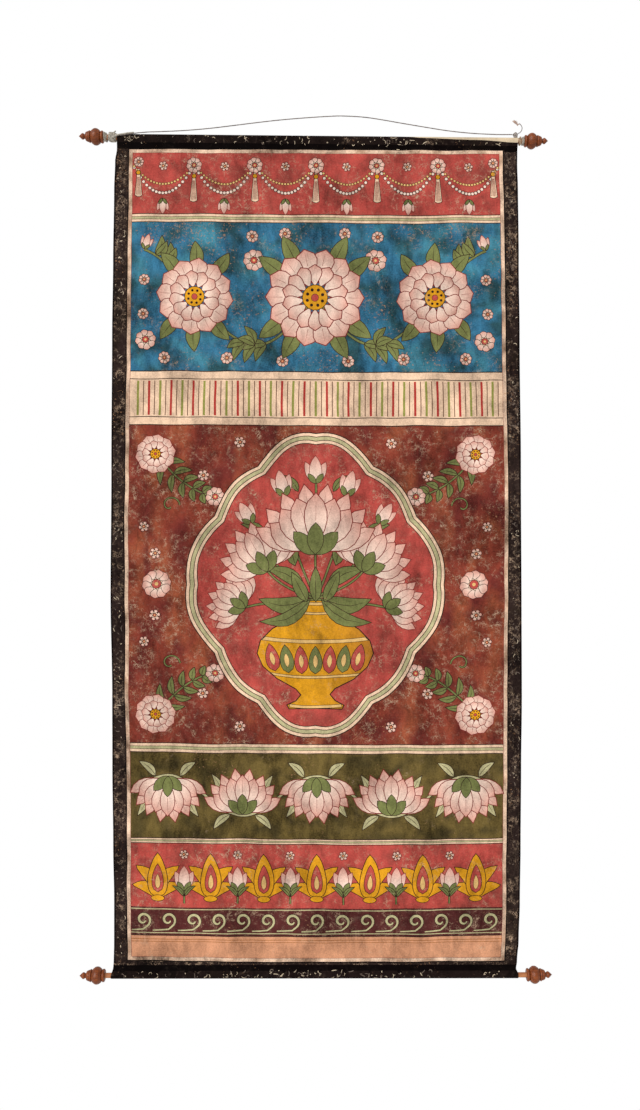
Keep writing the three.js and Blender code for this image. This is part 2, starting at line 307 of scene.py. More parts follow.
def build_brushwork(tree, given):
    """Uneven paint: broad cloudy changes, finer brush marks, and grime in blotches."""
    where = given["Vector"]
    broad = cloudy(tree, where, 9.0, 5.0, 0.62, 0.4)
    marks = cloudy(tree, stretched(tree, where, (1.0, 0.45, 1.0), (0, 0, 0.5)), 60.0, 4.0, 0.65, 0.6)
    grain = cloudy(tree, where, 330.0, 3.0, 0.7)
    level = plus(tree, ramp(tree, broad, 0.3, 0.7, -0.5, 0.5), ramp(tree, marks, 0.3, 0.7, -0.34, 0.34))
    level = plus(tree, level, ramp(tree, grain, 0.3, 0.7, -0.3, 0.3))
    gain = plus(tree, 1.0, times(tree, level, given["Amount"]))
    grey = put(tree, "CombineColor", {0: gain, 1: gain, 2: gain}).outputs[0]
    tinted = mixed(tree, 1.0, given["Color"], grey, "MULTIPLY")
    blotch = ramp(tree, cloudy(tree, where, 5.5, 6.0, 0.7, 0.8), 0.52, 0.74)
    blotch = times(tree, blotch, ramp(tree, cloudy(tree, where, 48.0, 5.0, 0.7), 0.36, 0.66))
    blotch = times(tree, blotch, given["Grime"])
    return {"Color": mixed(tree, blotch, tinted, given["Grime Color"])}


def build_flecks(tree, given):
    """Small losses of paint in drifts: a mask."""
    where = given["Vector"]
    drift = ramp(tree, cloudy(tree, where, 11.0, 4.0, 0.6, 0.5), 0.34, 0.72)
    small = cloudy(tree, where, given["Scale"], 5.0, 0.72, 0.3)
    limit = minus(tree, 0.76, times(tree, drift, 0.13))
    limit = minus(tree, limit, times(tree, given["Cover"], 0.14))
    above = calc(tree, "DIVIDE", minus(tree, small, limit), 0.05)
    return {"Mask": calc(tree, "MINIMUM", calc(tree, "MAXIMUM", above, 0.0), 1.0)}


def build_crackle(tree, given):
    """Fine broken cracks with curled ends, thick in places and bare in others: a mask."""
    where = given["Vector"]
    bend = put(tree, "TexNoise", {"Vector": where, "Scale": 34.0, "Detail": 3.0}).outputs["Color"]
    shift = put(tree, "VectorMath", {0: bend, 1: (0.022, 0.022, 0.0)}, operation="MULTIPLY").outputs[0]
    moved = put(tree, "VectorMath", {0: where, 1: shift}, operation="ADD").outputs[0]
    masks = []
    for scale, width in ((1.0, 0.05), (2.3, 0.075)):
        cells = {"Vector": moved, "Scale": times(tree, given["Scale"], scale)}
        web = put(tree, "TexVoronoi", cells, feature="DISTANCE_TO_EDGE").outputs[0]
        masks.append(ramp(tree, web, width, width * 0.25))
    both = calc(tree, "MAXIMUM", masks[0], masks[1])
    broken = ramp(tree, cloudy(tree, where, 85.0, 4.0, 0.65), 0.62, 0.44)
    gate = minus(tree, 0.66, times(tree, given["Cover"], 0.36))
    patch = minus(tree, cloudy(tree, where, 16.0, 5.0, 0.7, 0.6), gate)
    patch = calc(tree, "MULTIPLY", patch, 7.0, clamp=True)
    return {"Mask": times(tree, times(tree, both, minus(tree, 1.0, broken)), patch)}


def build_weave(tree, given):
    """Plain weave: warp and weft crossing, as a height."""
    turns = calc(tree, "DIVIDE", 2 * math.pi, given["Pitch"])
    axes = put(tree, "SeparateXYZ", {0: given["Vector"]}).outputs
    warp, weft = (calc(tree, "SINE", times(tree, axes[i], turns)) for i in (0, 1))
    return {"Height": times(tree, warp, weft)}


def build_grain(tree, given):
    """Wood grain along X: bands of growth and short dark pores."""
    where = given["Vector"]
    rings = cloudy(tree, stretched(tree, where, (0.09, 1.0, 1.0)), given["Scale"], 4.0, 0.6, 1.2)
    pores = cloudy(tree, stretched(tree, where, (0.05, 1.0, 1.0)), 2600.0, 2.0)
    return {"Rings": ramp(tree, rings, 0.3, 0.7), "Pores": ramp(tree, pores, 0.6, 0.72)}


VECTOR = ("Vector", None)
COLOUR = ("Color", None)
EFFECTS = {
    "brushwork": effect(
        "Brushwork",
        {"Vector": VECTOR, "Color": COLOUR, "Amount": ("Float", 0.5), "Grime": ("Float", 0.5),
         "Grime Color": COLOUR},
        {"Color": "Color"}, build_brushwork,
    ),
    "flecks": effect(
        "Paint flecks", {"Vector": VECTOR, "Scale": ("Float", 200.0), "Cover": ("Float", 0.5)},
        {"Mask": "Float"}, build_flecks,
    ),
    "crackle": effect(
        "Crackle", {"Vector": VECTOR, "Scale": ("Float", 100.0), "Cover": ("Float", 0.5)},
        {"Mask": "Float"}, build_crackle,
    ),
    "weave": effect(
        "Plain weave", {"Vector": VECTOR, "Pitch": ("Float", 0.001)}, {"Height": "Float"}, build_weave,
    ),
    "grain": effect(
        "Wood grain", {"Vector": VECTOR, "Scale": ("Float", 300.0)}, {"Rings": "Float", "Pores": "Float"},
        build_grain,
    ),
}


# Materials

def new_material(name, **constants):
    material = bpy.data.materials.new(name)
    material.use_nodes = True
    tree = material.node_tree
    shader = tree.nodes["Principled BSDF"]
    for key, value in constants.items():
        shader.inputs[key.replace("_", " ")].default_value = value
    return material, tree, shader


def connect(tree, shader, colour, height, strength, depth):
    """Links a material's colour, and its height as bump of that strength and depth in metres."""
    tree.links.new(colour, shader.inputs["Base Color"])
    bump = put(tree, "Bump", {"Height": height, "Strength": strength, "Distance": depth})
    tree.links.new(bump.outputs[0], shader.inputs["Normal"])


# What lies on the paint and shows through it
GRIME = srgb(52, 42, 30)
RUBBED = srgb(132, 112, 98)
BARE_PALE = srgb(206, 160, 120)
BARE_DARK = srgb(162, 114, 78)
CRACK_LINE = srgb(196, 166, 138)


def painted_cotton():
    """Colours from the paint attribute, aged by the wear one: flecks, cracks, brushwork and folds."""
    material, tree, shader = new_material("painted_cotton", Specular_IOR_Level=0.04)
    paint = put(tree, "Attribute", attribute_name="paint").outputs["Color"]
    wear = put(tree, "Attribute", attribute_name="wear")
    fleck, crack, brush = put(tree, "SeparateColor", {0: wear.outputs["Color"]}).outputs
    fold = put(tree, "Attribute", attribute_name="fold").outputs["Fac"]
    where = put(tree, "Attribute", attribute_name="flat").outputs["Vector"]

    colour = use(tree, EFFECTS["brushwork"], {
        "Vector": where, "Color": paint, "Amount": brush, "Grime": times(tree, brush, 0.75),
        "Grime Color": GRIME,
    })["Color"]
    losses = use(tree, EFFECTS["flecks"], {
        "Vector": where, "Scale": 210.0, "Cover": plus(tree, fleck, times(tree, fold, 0.5)),
    })["Mask"]
    cracks = use(tree, EFFECTS["crackle"], {
        "Vector": where, "Scale": 95.0, "Cover": plus(tree, crack, times(tree, fold, 0.4)),
    })["Mask"]
    rubbed = times(tree, ramp(tree, cloudy(tree, where, 90.0, 6.0, 0.72, 0.4), 0.5, 0.72),
                   ramp(tree, cloudy(tree, where, 14.0, 4.0, 0.6), 0.4, 0.66))
    colour = mixed(tree, times(tree, rubbed, times(tree, crack, 0.6)), colour, RUBBED)
    ground = mixed(tree, cloudy(tree, where, 40.0, 3.0), BARE_PALE, BARE_DARK)
    colour = mixed(tree, times(tree, losses, 0.62), colour, ground)
    colour = mixed(tree, times(tree, cracks, 0.7), colour, CRACK_LINE)

    rough = ramp(tree, cloudy(tree, where, 30.0, 4.0), 0.3, 0.7, 0.72, 0.9)
    tree.links.new(rough, shader.inputs["Roughness"])
    weave = use(tree, EFFECTS["weave"], {"Vector": where, "Pitch": 0.0011})["Height"]
    relief = minus(tree, times(tree, weave, 0.25), plus(tree, losses, cracks))
    height = plus(tree, relief, times(tree, cloudy(tree, where, 26.0, 3.0, 0.5), 9.0))
    connect(tree, shader, colour, height, 0.5, 0.00022)
    return material


def wood(name, pale, dark, pore, scale, rough, coat):
    """Oiled or varnished wood with its grain along X, worn pale on its edges and dark in its hollows."""
    material, tree, shader = new_material(name, Coat_Weight=coat, Coat_Roughness=0.2, Specular_IOR_Level=0.36)
    pale, dark, pore = srgb(*pale), srgb(*dark), srgb(*pore)
    where = put(tree, "TexCoord").outputs["Object"]
    rings, pores = use(tree, EFFECTS["grain"], {"Vector": where, "Scale": scale})
    colour = mixed(tree, rings, dark, pale)
    patches = ramp(tree, cloudy(tree, where, 70.0, 4.0, 0.6), 0.42, 0.66)
    handled = ramp(tree, put(tree, "NewGeometry").outputs["Pointiness"], 0.5, 0.56)
    hollow = ramp(tree, put(tree, "NewGeometry").outputs["Pointiness"], 0.5, 0.44)
    layers = ((patches, 0.45, dark), (pores, 0.7, pore), (handled, 0.5, pale), (hollow, 0.6, pore))
    for mask, share, tone in layers:
        colour = mixed(tree, times(tree, mask, share), colour, tone)
    tree.links.new(plus(tree, rough, times(tree, pores, 0.25)), shader.inputs["Roughness"])
    connect(tree, shader, colour, minus(tree, times(tree, rings, 0.4), pores), 0.4, 0.00012)
    return material


def twine(name, pale, dark):
    """Dull spun cord, dirtier in patches, with fine fibres."""
    material, tree, shader = new_material(name, Specular_IOR_Level=0.15, Roughness=0.9)
    pale, dark = srgb(*pale), srgb(*dark)
    where = put(tree, "TexCoord").outputs["Object"]
    fibre = cloudy(tree, where, 2400.0, 2.0, 0.6)
    dirt = ramp(tree, cloudy(tree, where, 120.0, 4.0, 0.6), 0.35, 0.7)
    colour = mixed(tree, times(tree, dirt, 0.8), pale, dark)
    colour = mixed(tree, times(tree, ramp(tree, fibre, 0.45, 0.7), 0.4), colour, dark)
    connect(tree, shader, colour, fibre, 0.6, 0.0002)
    return material


MATERIALS = {
    "painted_cotton": painted_cotton(),
    "turned_wood": wood("turned_wood", (154, 78, 30), (92, 39, 12), (36, 14, 5), 260.0, 0.34, 0.06),
    "rod_wood": wood("rod_wood", (204, 136, 86), (156, 92, 52), (96, 52, 30), 320.0, 0.5, 0.1),
    "twine": twine("twine", (214, 206, 192), (146, 138, 126)),
    "dark_twine": twine("dark_twine", (158, 147, 140), (98, 87, 84)),
    "knot_twine": twine("knot_twine", (192, 182, 174), (118, 106, 100)),
    "tan_twine": twine("tan_twine", (212, 190, 162), (142, 112, 84)),
    "frayed_twine": twine("frayed_twine", (224, 196, 178), (178, 142, 124)),
}


def dress(piece, finish, *nodes):
    """Gives a finished piece its material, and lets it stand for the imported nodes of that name."""
    piece.data.materials.clear()
    piece.data.materials.append(MATERIALS[finish])
    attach(piece, "root")
    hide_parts(*nodes)
    return piece


# Cords

def smooth_route(points, step):
    """Points a step apart on a smooth curve through the route's own points."""
    knots = [Vector(p) for p in points]
    ends = [2 * knots[0] - knots[1], *knots, 2 * knots[-1] - knots[-2]]
    dense = []
    for a, b, c, d in zip(ends, ends[1:], ends[2:], ends[3:]):
        count = max(2, int((c - b).length / step * 2))
        for i in range(count):
            u = i / count
            dense.append(0.5 * (2 * b + (c - a) * u + (2 * a - 5 * b + 4 * c - d) * u ** 2
                                + (3 * b - a - 3 * c + d) * u ** 3))
    dense.append(knots[-1])
    reach = [0.0]
    for a, b in zip(dense, dense[1:]):
        reach.append(reach[-1] + (b - a).length)
    count = max(2, round(reach[-1] / step))
    even = np.linspace(0, reach[-1], count + 1)
    columns = [np.interp(even, reach, [p[axis] for p in dense]) for axis in range(3)]
    return [Vector(p) for p in zip(*columns)], reach[-1]


# A strand: how far its plies lie from its middle and how thick they are, as shares of its width, and the
# length in which they go round once
PLY_OUT = 0.23
PLY_RADIUS = 0.3
TWIST = 5.0


def rope(name, path, wide, plies=3, sides=6, fray=0.0):
    """A twisted cord along a path in millimetres, laid up from plies."""
    offset = wide * PLY_OUT if plies > 1 else 0.0
    thick = wide * PLY_RADIUS if plies > 1 else wide / 2
    ahead, behind = [*path[1:], path[-1]], [path[0], *path[:-1]]
    tangents = [(after - before).normalized() for after, before in zip(ahead, behind)]
    across = tangents[0].orthogonal().normalized()
    vertices, faces, frames = [], [], []
    travelled = 0.0
    for point, before, tangent in zip(path, behind, tangents):
        across = (across - tangent * across.dot(tangent)).normalized()
        travelled += (point - before).length
        frames.append((point, across, tangent.cross(across), travelled))
    for ply in range(plies):
        start = len(vertices)
        for point, u, v, along in frames:
            turn = 2 * math.pi * (along / TWIST + ply / plies)
            swell = 1 + fray * noise.noise(Vector((along * 0.31, ply * 7.0, 0.0)))
            centre = point + (u * math.cos(turn) + v * math.sin(turn)) * offset
            for k in range(sides):
                angle = 2 * math.pi * k / sides + turn
                out = (u * math.cos(angle) + v * math.sin(angle)) * thick * swell
                vertices.append((centre + out) * MM)
        for i in range(len(frames) - 1):
            for k in range(sides):
                a = start + i * sides + k
                b = start + i * sides + (k + 1) % sides
                faces.append((a, b, b + sides, a + sides))
        last = start + (len(frames) - 1) * sides
        faces.append(tuple(start + k for k in reversed(range(sides))))
        faces.append(tuple(last + k for k in range(sides)))
    mesh = bpy.data.meshes.new(name)
    mesh.from_pydata(vertices, [], faces)
    mesh.validate()
    mesh.shade_smooth()
    piece = bpy.data.objects.new(name, mesh)
    bpy.context.scene.collection.objects.link(piece)
    return piece


def rope_through(name, route, step, wide, **form):
    return rope(name, smooth_route(route, step)[0], wide, **form)


def make_cord(name, node, route, step, wide, fray):
    """One of the two long cords, with the path along its middle and its length."""
    path, length = smooth_route(route, step)
    return dress(rope(name, path, wide, fray=fray), "dark_twine", node), path, length


make_camera()
make_light()
make_floor()
span, span_path, span_length = make_cord("hanging_cord", "cord_span", CORD_ROUTE, 0.8, CORD_WIDE, 0.12)
tail, tail_path, tail_length = make_cord("cord_free_end", "cord_tail", TAIL_ROUTE, 0.6, TAIL_WIDE, 0.15)


# Knot, frayed tip and the turns of cord round the top rod

def rod_height(rod, x):
    share = (x - rod["left"]) / (rod["right"] - rod["left"])
    return rod["z_left"] + share * (rod["z_right"] - rod["z_left"])


def join(pieces, name):
    bpy.ops.object.select_all(action="DESELECT")
    for piece in pieces:
        piece.select_set(True)
    bpy.context.view_layer.objects.active = pieces[0]
    if len(pieces) > 1:
        bpy.ops.object.join()
    pieces[0].name = name
    return pieces[0]


# The knot: its middle, how far its turns reach from it, and the two strands of its tight heart
KNOT = {"x": 344.6, "y": -1.4, "z": -39.1, "reach": 3.2, "lobes": 5, "points": 110}
HEARTS = (
    [(341.6, -1.2, -42.1), (343.2, -2.4, -39.3), (345.4, -2.2, -37.1), (347.2, -0.8, -35.7)],
    [(347.4, -1.4, -42.3), (346.2, -3.0, -40.3), (343.8, -2.9, -37.9), (342.0, -1.2, -36.7)],
)


def make_knot():
    """The knot by the right end of the top rod: the cord passed twice round itself, over a tight heart."""
    points = []
    for i in range(KNOT["points"]):
        angle = 4 * math.pi * i / (KNOT["points"] - 1) * 0.985
        swing = KNOT["lobes"] / 2 * angle
        out = KNOT["reach"] * (2 + math.cos(swing)) / 2.05 * (1 + 0.08 * math.sin(angle * 1.3))
        points.append((KNOT["x"] + out * 0.96 * math.cos(angle + 0.4), KNOT["y"] + 1.5 * math.sin(swing),
                       KNOT["z"] + out * 1.12 * math.sin(angle + 0.4)))
    made = [rope_through("knot_turns", points, 0.7, 2.2, fray=0.2)]
    for n, heart in enumerate(HEARTS):
        made.append(rope_through("knot_heart_%d" % n, heart, 0.7, 3.4, plies=2, fray=0.3))
    return dress(join(made, "cord_knot_turns"), "knot_twine", "cord_knot")


# The frayed tip: where its fibres start, the way they lean, and the small turns that hold them
TIP_ROOT = Vector((349.4, -0.4, -18.4))
TIP_LEAN = Vector((math.cos(math.radians(135)), 0, math.sin(math.radians(135))))
TIP_TURNS = ((TIP_ROOT, 1.3), (Vector((352.6, -0.1, -15.9)), 1.1))
FIBRES = 28


def make_tuft():
    """The frayed tip: a small hard knot with loose fibres fanning out of it."""
    rng = random.Random(7)
    made = []
    for n in range(FIBRES):
        spread = Vector((rng.uniform(-0.3, 0.3), rng.uniform(-0.4, 0.4), rng.uniform(-0.3, 0.3)))
        reach = rng.uniform(7.5, 11.5)
        points = [TIP_ROOT]
        for share, fan in ((0.3, 3.6), (0.65, 7.2), (1, 8.4)):
            points.append(TIP_ROOT + TIP_LEAN * reach * share + spread * fan)
        made.append(rope_through("fibre_%d" % n, points, 1.0, rng.uniform(0.8, 1.2), plies=1, sides=5))
    for centre, size in TIP_TURNS:
        ring = []
        for a in np.linspace(0, 4.4 * math.pi, 40):
            out = Vector((size * math.cos(a), size * math.sin(a), size * math.sin(a + 0.8)))
            ring.append((centre + out).to_tuple())
        made.append(rope_through("tip_knot", ring, 0.6, 1.3, plies=2))
    return dress(join(made, "cord_frayed_tip"), "frayed_twine", "cord_end_tuft")


# Each binding: the node it stands for, its reach along the rod, and its layers of turns from the rod out
BINDINGS = table(
    "node from to layers seed slant finish",
    ("cord_wrap_left_outer", -478.4, -471.2, (3.4, 2.4, 1.2), 3, 1.6, "twine"),
    ("cord_wrap_left_inner", -469.6, -451.6, (8.0, 7.2, 4.6), 5, 2.4, "twine"),
    ("cord_wrap_right_inner", 350.9, 356.6, (2.6, 2.2), 11, 0.3, "tan_twine"),
    ("cord_wrap_right_outer", 356.9, 362.2, (2.4, 1.3), 13, 0.4, "twine"),
)
LEFT_ENDS = table(
    "wide route",
    (3.2, [(-461, -9.6, -47.2), (-455, -10.5, -45.0), (-449, -10.0, -42.2), (-441, -9.4, -40.2),
           (-432, -8.6, -38.4), (-424, -7.0, -36.6), (-417, -5.6, -35.6)]),
    (3.0, [(-458.4, -3.4, -36.2), (-457.0, -2.8, -34.0), (-455.4, -2.2, -32.0), (-454.4, -1.8, -30.8)]),
    (2.2, [(-466.4, -8.6, -37.2), (-462, -10.6, -41.4), (-457.2, -10.4, -46.6), (-453.6, -7.6, -50.6)]),
)
WRAP_WIDE = 1.9
WRAP_BORE = 5.3
LAYER_RISE = 0.72
TURN_POINTS = 20


def make_binding(row):
    """Cord wound to and fro round the top rod, each layer lying on the one below."""
    rng = random.Random(row["seed"])
    points = []
    turned = rng.uniform(0, 2 * math.pi)
    low, high = row["from"] + WRAP_WIDE / 2, row["to"] - WRAP_WIDE / 2
    for layer, turns in enumerate(row["layers"]):
        count = int(turns * TURN_POINTS)
        for i in range(count):
            share = i / (count - 1)
            if layer % 2:
                share = 1 - share
            margin = (high - low) * 0.12 * layer
            slip = row["slant"] * (0.4 + 0.3 * layer) * math.sin(turned + layer)
            x = min(max(low + margin + share * (high - low - 2 * margin) + slip, low), high)
            radius = WRAP_BORE + WRAP_WIDE / 2 + layer * WRAP_WIDE * LAYER_RISE
            radius += 0.14 * math.sin(turned * 1.9)
            y, up = radius * math.cos(turned), radius * math.sin(turned)
            points.append((x, y, rod_height(TOP_ROD, x) + up))
            turned += 2 * math.pi / TURN_POINTS
    made = [rope_through("binding_turns", points, 0.9, WRAP_WIDE, sides=5, fray=0.12)]
    if row["node"] == "cord_wrap_left_inner":
        for end in LEFT_ENDS:
            made.append(rope_through("binding_end", end["route"], 0.8, end["wide"], fray=0.2))
    return dress(join(made, row["node"].replace("cord_wrap", "binding")), row["finish"], row["node"])


knot = make_knot()
tuft = make_tuft()
for row in BINDINGS:
    make_binding(row)


# Turned wood: each finial's outline as distance along its axis from the rod's shoulder, and radius

BALL = {"along": 15.5, "radius": 16.5, "half": 12.6, "from": 6.2, "to": 25.2}
COLLAR = [
    (0, 10.2), (0.3, 10.9), (1, 11.9), (1.7, 12.2), (2.6, 12.25), (3.4, 12.2), (4.0, 11.9), (4.5, 11.4),
    (5, 10.9), (5.4, 10.2), (5.8, 10.1),
]
TIP = [
    (25.5, 10.1), (25.9, 10.2), (26.2, 10.9), (26.7, 11.6), (27.7, 11.9), (28.7, 11.7), (29.2, 11.1),
    (29.6, 10.3), (30, 10.2), (30.5, 10.5), (31.4, 10.4), (33, 9.8), (34.6, 9.1), (35.8, 8.2), (36.4, 7),
    (36.9, 5.6), (37.4, 4.6), (38, 4.35), (38.8, 4.7), (39.8, 5.3), (40.8, 5.95), (41.9, 6.3), (43, 6.2),
    (44.2, 5.6), (45.6, 4.4), (47, 3.1), (48.4, 1.8), (49.5, 0.8), (50, 0.4), (50.2, 0.12),
]
BALL_GROOVES = {"along": (9.6, 21.6), "deep": 0.5, "half": 0.35}
SOCKET = {"deep": 12, "radius": 5.7}
FINIALS = table(
    "node rod side size lift",
    ("finial_top_left", TOP_ROD, "left", 0.98, 1.5),
    ("finial_top_right", TOP_ROD, "right", 0.94, 1),
    ("finial_bottom_left", FOOT_ROD, "left", 1.015, -0.5),
    ("finial_bottom_right", FOOT_ROD, "right", 1.015, 0.5),
)


def turned_piece(name, start, axis, rings, sides=56):
    """Wood turned along an axis: a disc extruded from ring to ring, and closed at its tip."""
    bpy.ops.object.select_all(action="DESELECT")
    facing = axis.to_track_quat("Z", "Y").to_euler()
    first = rings[0]
    bpy.ops.mesh.primitive_circle_add(
        vertices=sides, radius=first[1] * MM, fill_type="NGON", location=(start + axis * first[0]) * MM,
        rotation=facing
    )
    piece = bpy.context.object
    piece.name = name
    bpy.ops.object.transform_apply(location=True, rotation=True, scale=True)
    bpy.ops.object.mode_set(mode="EDIT")
    bpy.ops.mesh.select_all(action="SELECT")
    for (here, radius), (there, grown) in zip(rings, rings[1:]):
        bpy.ops.mesh.extrude_region_move(TRANSFORM_OT_translate={"value": axis * (there - here) * MM})
        bpy.ops.transform.resize(value=(grown / radius,) * 3)
    bpy.ops.mesh.merge(type="CENTER")
    bpy.ops.mesh.select_all(action="SELECT")
    bpy.ops.mesh.normals_make_consistent(inside=False)
    bpy.ops.object.mode_set(mode="OBJECT")
    bpy.ops.object.shade_smooth_by_angle(angle=math.radians(38))
    return piece


def scaled(outline, size):
    return [(along * size, radius * size) for along, radius in outline]


def finial_rings(size):
    """Socket, collar, ball with its two scribed lines, and tip."""
    ball = []
    for along in np.linspace(BALL["from"], BALL["to"], 22):
        share = (along - BALL["along"]) / BALL["half"]
        radius = BALL["radius"] * math.sqrt(1 - share * share)
        for groove in BALL_GROOVES["along"]:
            radius -= BALL_GROOVES["deep"] * math.exp(-((along - groove) / BALL_GROOVES["half"]) ** 2)
        ball.append((along, radius))
    socket = [(SOCKET["deep"], SOCKET["radius"]), (0, SOCKET["radius"])]
    return socket + scaled(COLLAR, size) + scaled(ball, size) + scaled(TIP, size)


def make_finial(row):
    rod = row["rod"]
    right = row["side"] == "right"
    fall = math.atan2(rod["z_left"] - rod["z_right"], rod["right"] - rod["left"])
    lift = math.radians(row["lift"])
    tilt = lift - fall if right else lift + fall
    axis = Vector((math.cos(tilt) if right else -math.cos(tilt), 0, math.sin(tilt)))
    x = rod[row["side"]]
    start = Vector((x, 0, rod_height(rod, x)))
    name = row["node"].replace("finial", "turned_finial")
    return dress(turned_piece(name, start, axis, finial_rings(row["size"])), "turned_wood", row["node"])


def make_rod(rod, node):
    """A plain rod, a hair uneven along its length, with eased ends inside its finials."""
    left = Vector((rod["left"], 0, rod["z_left"]))
    right = Vector((rod["right"], 0, rod["z_right"]))
    axis = (right - left).normalized()
    length = (right - left).length
    eased = 0.5
    rings = [(-ROD_IN_SOCKET, ROD_RADIUS - eased), (-ROD_IN_SOCKET + eased, ROD_RADIUS)]
    for share in np.linspace(0, 1, 24):
        rings.append((share * length, ROD_RADIUS - 0.05 + 0.05 * math.sin(share * 37)))
    end = length + ROD_IN_SOCKET
    rings += [(end - eased, ROD_RADIUS), (end, ROD_RADIUS - eased), (end, 0.2)]
    return dress(turned_piece(node + "_dowel", left, axis, rings, sides=40), "rod_wood", node)


for row in FINIALS:
    make_finial(row)
make_rod(TOP_ROD, "top_rod")
make_rod(FOOT_ROD, "bottom_rod")


# Paints: colour, then how much it flecks, cracks and shows the brush

def paint(red, green, blue, fleck, crack, brush):
    return np.array([*srgb(red, green, blue)[:3], fleck, crack, brush])


BLACK = paint(40, 29, 26, 0.46, 0.6, 0.95)
SLEEVE_BLACK = paint(27, 18, 16, 0.26, 0.3, 0.8)
# SLEEVE_SHADE is painted shade: the sleeve darkened by its stitching, where the cloth curves back in away
# from the light
SLEEVE_SHADE = paint(9, 4, 4, 0.1, 0.1, 0.5)
# Dark paint of the frame's outer line, also laid as painted shade along the sheet's rolled side edges
FRAME_LINE_AND_EDGE_SHADE = paint(12, 7, 7, 0.05, 0.05, 0.3)
SCUFF = paint(196, 178, 152, 0, 0, 0.4)
FAINT_SCUFF = paint(112, 98, 88, 0, 0, 0.4)
INK = paint(46, 28, 24, 0.35, 0.3, 0.3)
WINE_INK = paint(120, 44, 40, 0.2, 0.15, 0.3)
FILLET = paint(216, 184, 158, 0.66, 0.3, 0.8)
FILLET_DULL = paint(152, 118, 94, 0.6, 0.3, 0.9)
BLUE = paint(50, 102, 130, 0.64, 0.34, 0.8)
BLUE_DEEP = paint(36, 60, 58, 0.62, 0.4, 0.8)
BLUE_PALE = paint(66, 126, 142, 0.72, 0.34, 0.7)
CRIMSON = paint(174, 72, 64, 0.36, 0.54, 0.55)
CRIMSON_DULL = paint(144, 64, 56, 0.44, 0.6, 0.6)
RUST = paint(123, 54, 41, 0.46, 0.62, 0.7)
RUST_DEEP = paint(96, 39, 35, 0.42, 0.56, 0.7)
RUST_PALE = paint(148, 78, 52, 0.6, 0.7, 0.7)
OLIVE = paint(98, 82, 44, 0.36, 0.2, 0.85)
OLIVE_DEEP = paint(62, 54, 32, 0.3, 0.2, 0.8)
MAROON = paint(80, 38, 36, 0.5, 0.6, 0.6)
SALMON = paint(200, 142, 108, 0.44, 0.3, 0.5)
CREAM = paint(226, 192, 162, 0.26, 0.24, 0.55)
PETAL = paint(231, 206, 188, 0.28, 0.3, 0.45)
ROSE = paint(204, 140, 124, 0.28, 0.3, 0.45)
OCHRE = paint(206, 144, 30, 0.32, 0.4, 0.55)
GOLD = paint(216, 176, 112, 0.2, 0.24, 0.45)
BROWN = paint(150, 92, 40, 0.2, 0.12, 0.5)
SAGE = paint(178, 170, 128, 0.2, 0.16, 0.55)
LEAF = paint(112, 116, 68, 0.26, 0.14, 0.6)
STRIPE_RED = paint(172, 56, 50, 0.16, 0.1, 0.5)
STRIPE_GREEN = paint(140, 140, 70, 0.16, 0.1, 0.5)
STRIPE_LINE = paint(108, 76, 58, 0.2, 0.1, 0.6)
COTTON = paint(208, 188, 158, 0.05, 0.0, 0.28)

# Every painted shape in the order in which it is laid on: its outline on the cloth, and its paint
SHAPES = []


def clouded(base, others, size, seed, tall=1.0):
    """A ground colour that drifts into others in soft patches."""
    def at(p):
        x, z = p.real / size, p.imag / size
        colour = base
        for n, (other, share) in enumerate(others):
            level = noise.noise(Vector((x, z / tall, seed + 9.7 * n)))
            level += 0.4 * noise.noise(Vector((x * 3, z * 3 / tall, seed + 5.1 * n)))
            weight = min(max(level * 3, 0), 1) * share
            colour = colour * (1 - weight) + other * weight
        return colour
    return at


BLUE_GROUND = clouded(BLUE, ((BLUE_PALE, 0.8), (BLUE_DEEP, 0.8)), 40, 1.3)
CRIMSON_GROUND = clouded(CRIMSON, ((CRIMSON_DULL, 0.9),), 34, 2.9)
RUST_GROUND = clouded(RUST, ((RUST_PALE, 0.8), (RUST_DEEP, 0.9)), 34, 4.4, 2.2)
OLIVE_GROUND = clouded(OLIVE, ((OLIVE_DEEP, 0.8),), 30, 6.2, 0.7)
FILLET_GROUND = clouded(FILLET, ((FILLET_DULL, 0.8),), 26, 7.8)


# Drawing on the cloth: points are x + iz in millimetres, and outlines go round counterclockwise

def frame_x(side, z):
    """Where the painted frame's left or right side runs at a height."""
    return float(np.interp(z, [row["z"] for row in FRAME_SIDES], [row[side] for row in FRAME_SIDES]))


def on_cloth(p):
    """Where a point of the square drawing lies: the painted frame is bowed and a little out of square."""
    across = (p.real - PANEL["left"]) / PANEL_WIDE
    up = (p.imag - PANEL["foot"]) / (PANEL["top"] - PANEL["foot"])
    top = FRAME["top_left"] + (FRAME["top_right"] - FRAME["top_left"]) * across
    foot = FRAME["foot_left"] + (FRAME["foot_right"] - FRAME["foot_left"]) * across
    foot += FRAME["foot_bow"] * 4 * across * (1 - across)
    z = foot + (top - foot) * up
    left, right = frame_x("left", z), frame_x("right", z)
    return complex(left + (right - left) * across, z)


def wobble(p):
    """The place of a drawn point, with the slight wander of the hand."""
    place = on_cloth(p)
    for wave, seed, reach in WANDER:
        drift = noise.noise_vector(Vector((p.real / wave, p.imag / wave, seed)))
        place += complex(drift.x, drift.y) * reach
    return place


def spot(points, paint_used):
    """A filled shape."""
    SHAPES.append(([wobble(p) for p in points], paint_used))


def left_of(ahead):
    """The step of one millimetre to the left of a direction."""
    return 1j * ahead / abs(ahead)


def inset(points, gap):
    """An outline moved inwards by a gap, with the spikes of its sharp corners cut short."""
    least, longest = 0.2, 2.4
    moved = []
    for i, here in enumerate(points):
        before = here - points[i - 1]
        after = points[(i + 1) % len(points)] - here
        inward = 1j * (before / abs(before) + after / abs(after))
        size = max(abs(inward), least)
        moved.append(here + inward / size * gap * min(2 / size, longest))
    return moved


def outlined(points, paint_used, line=1.5, ink=INK):
    spot(points, ink)
    spot(inset(points, line), paint_used)


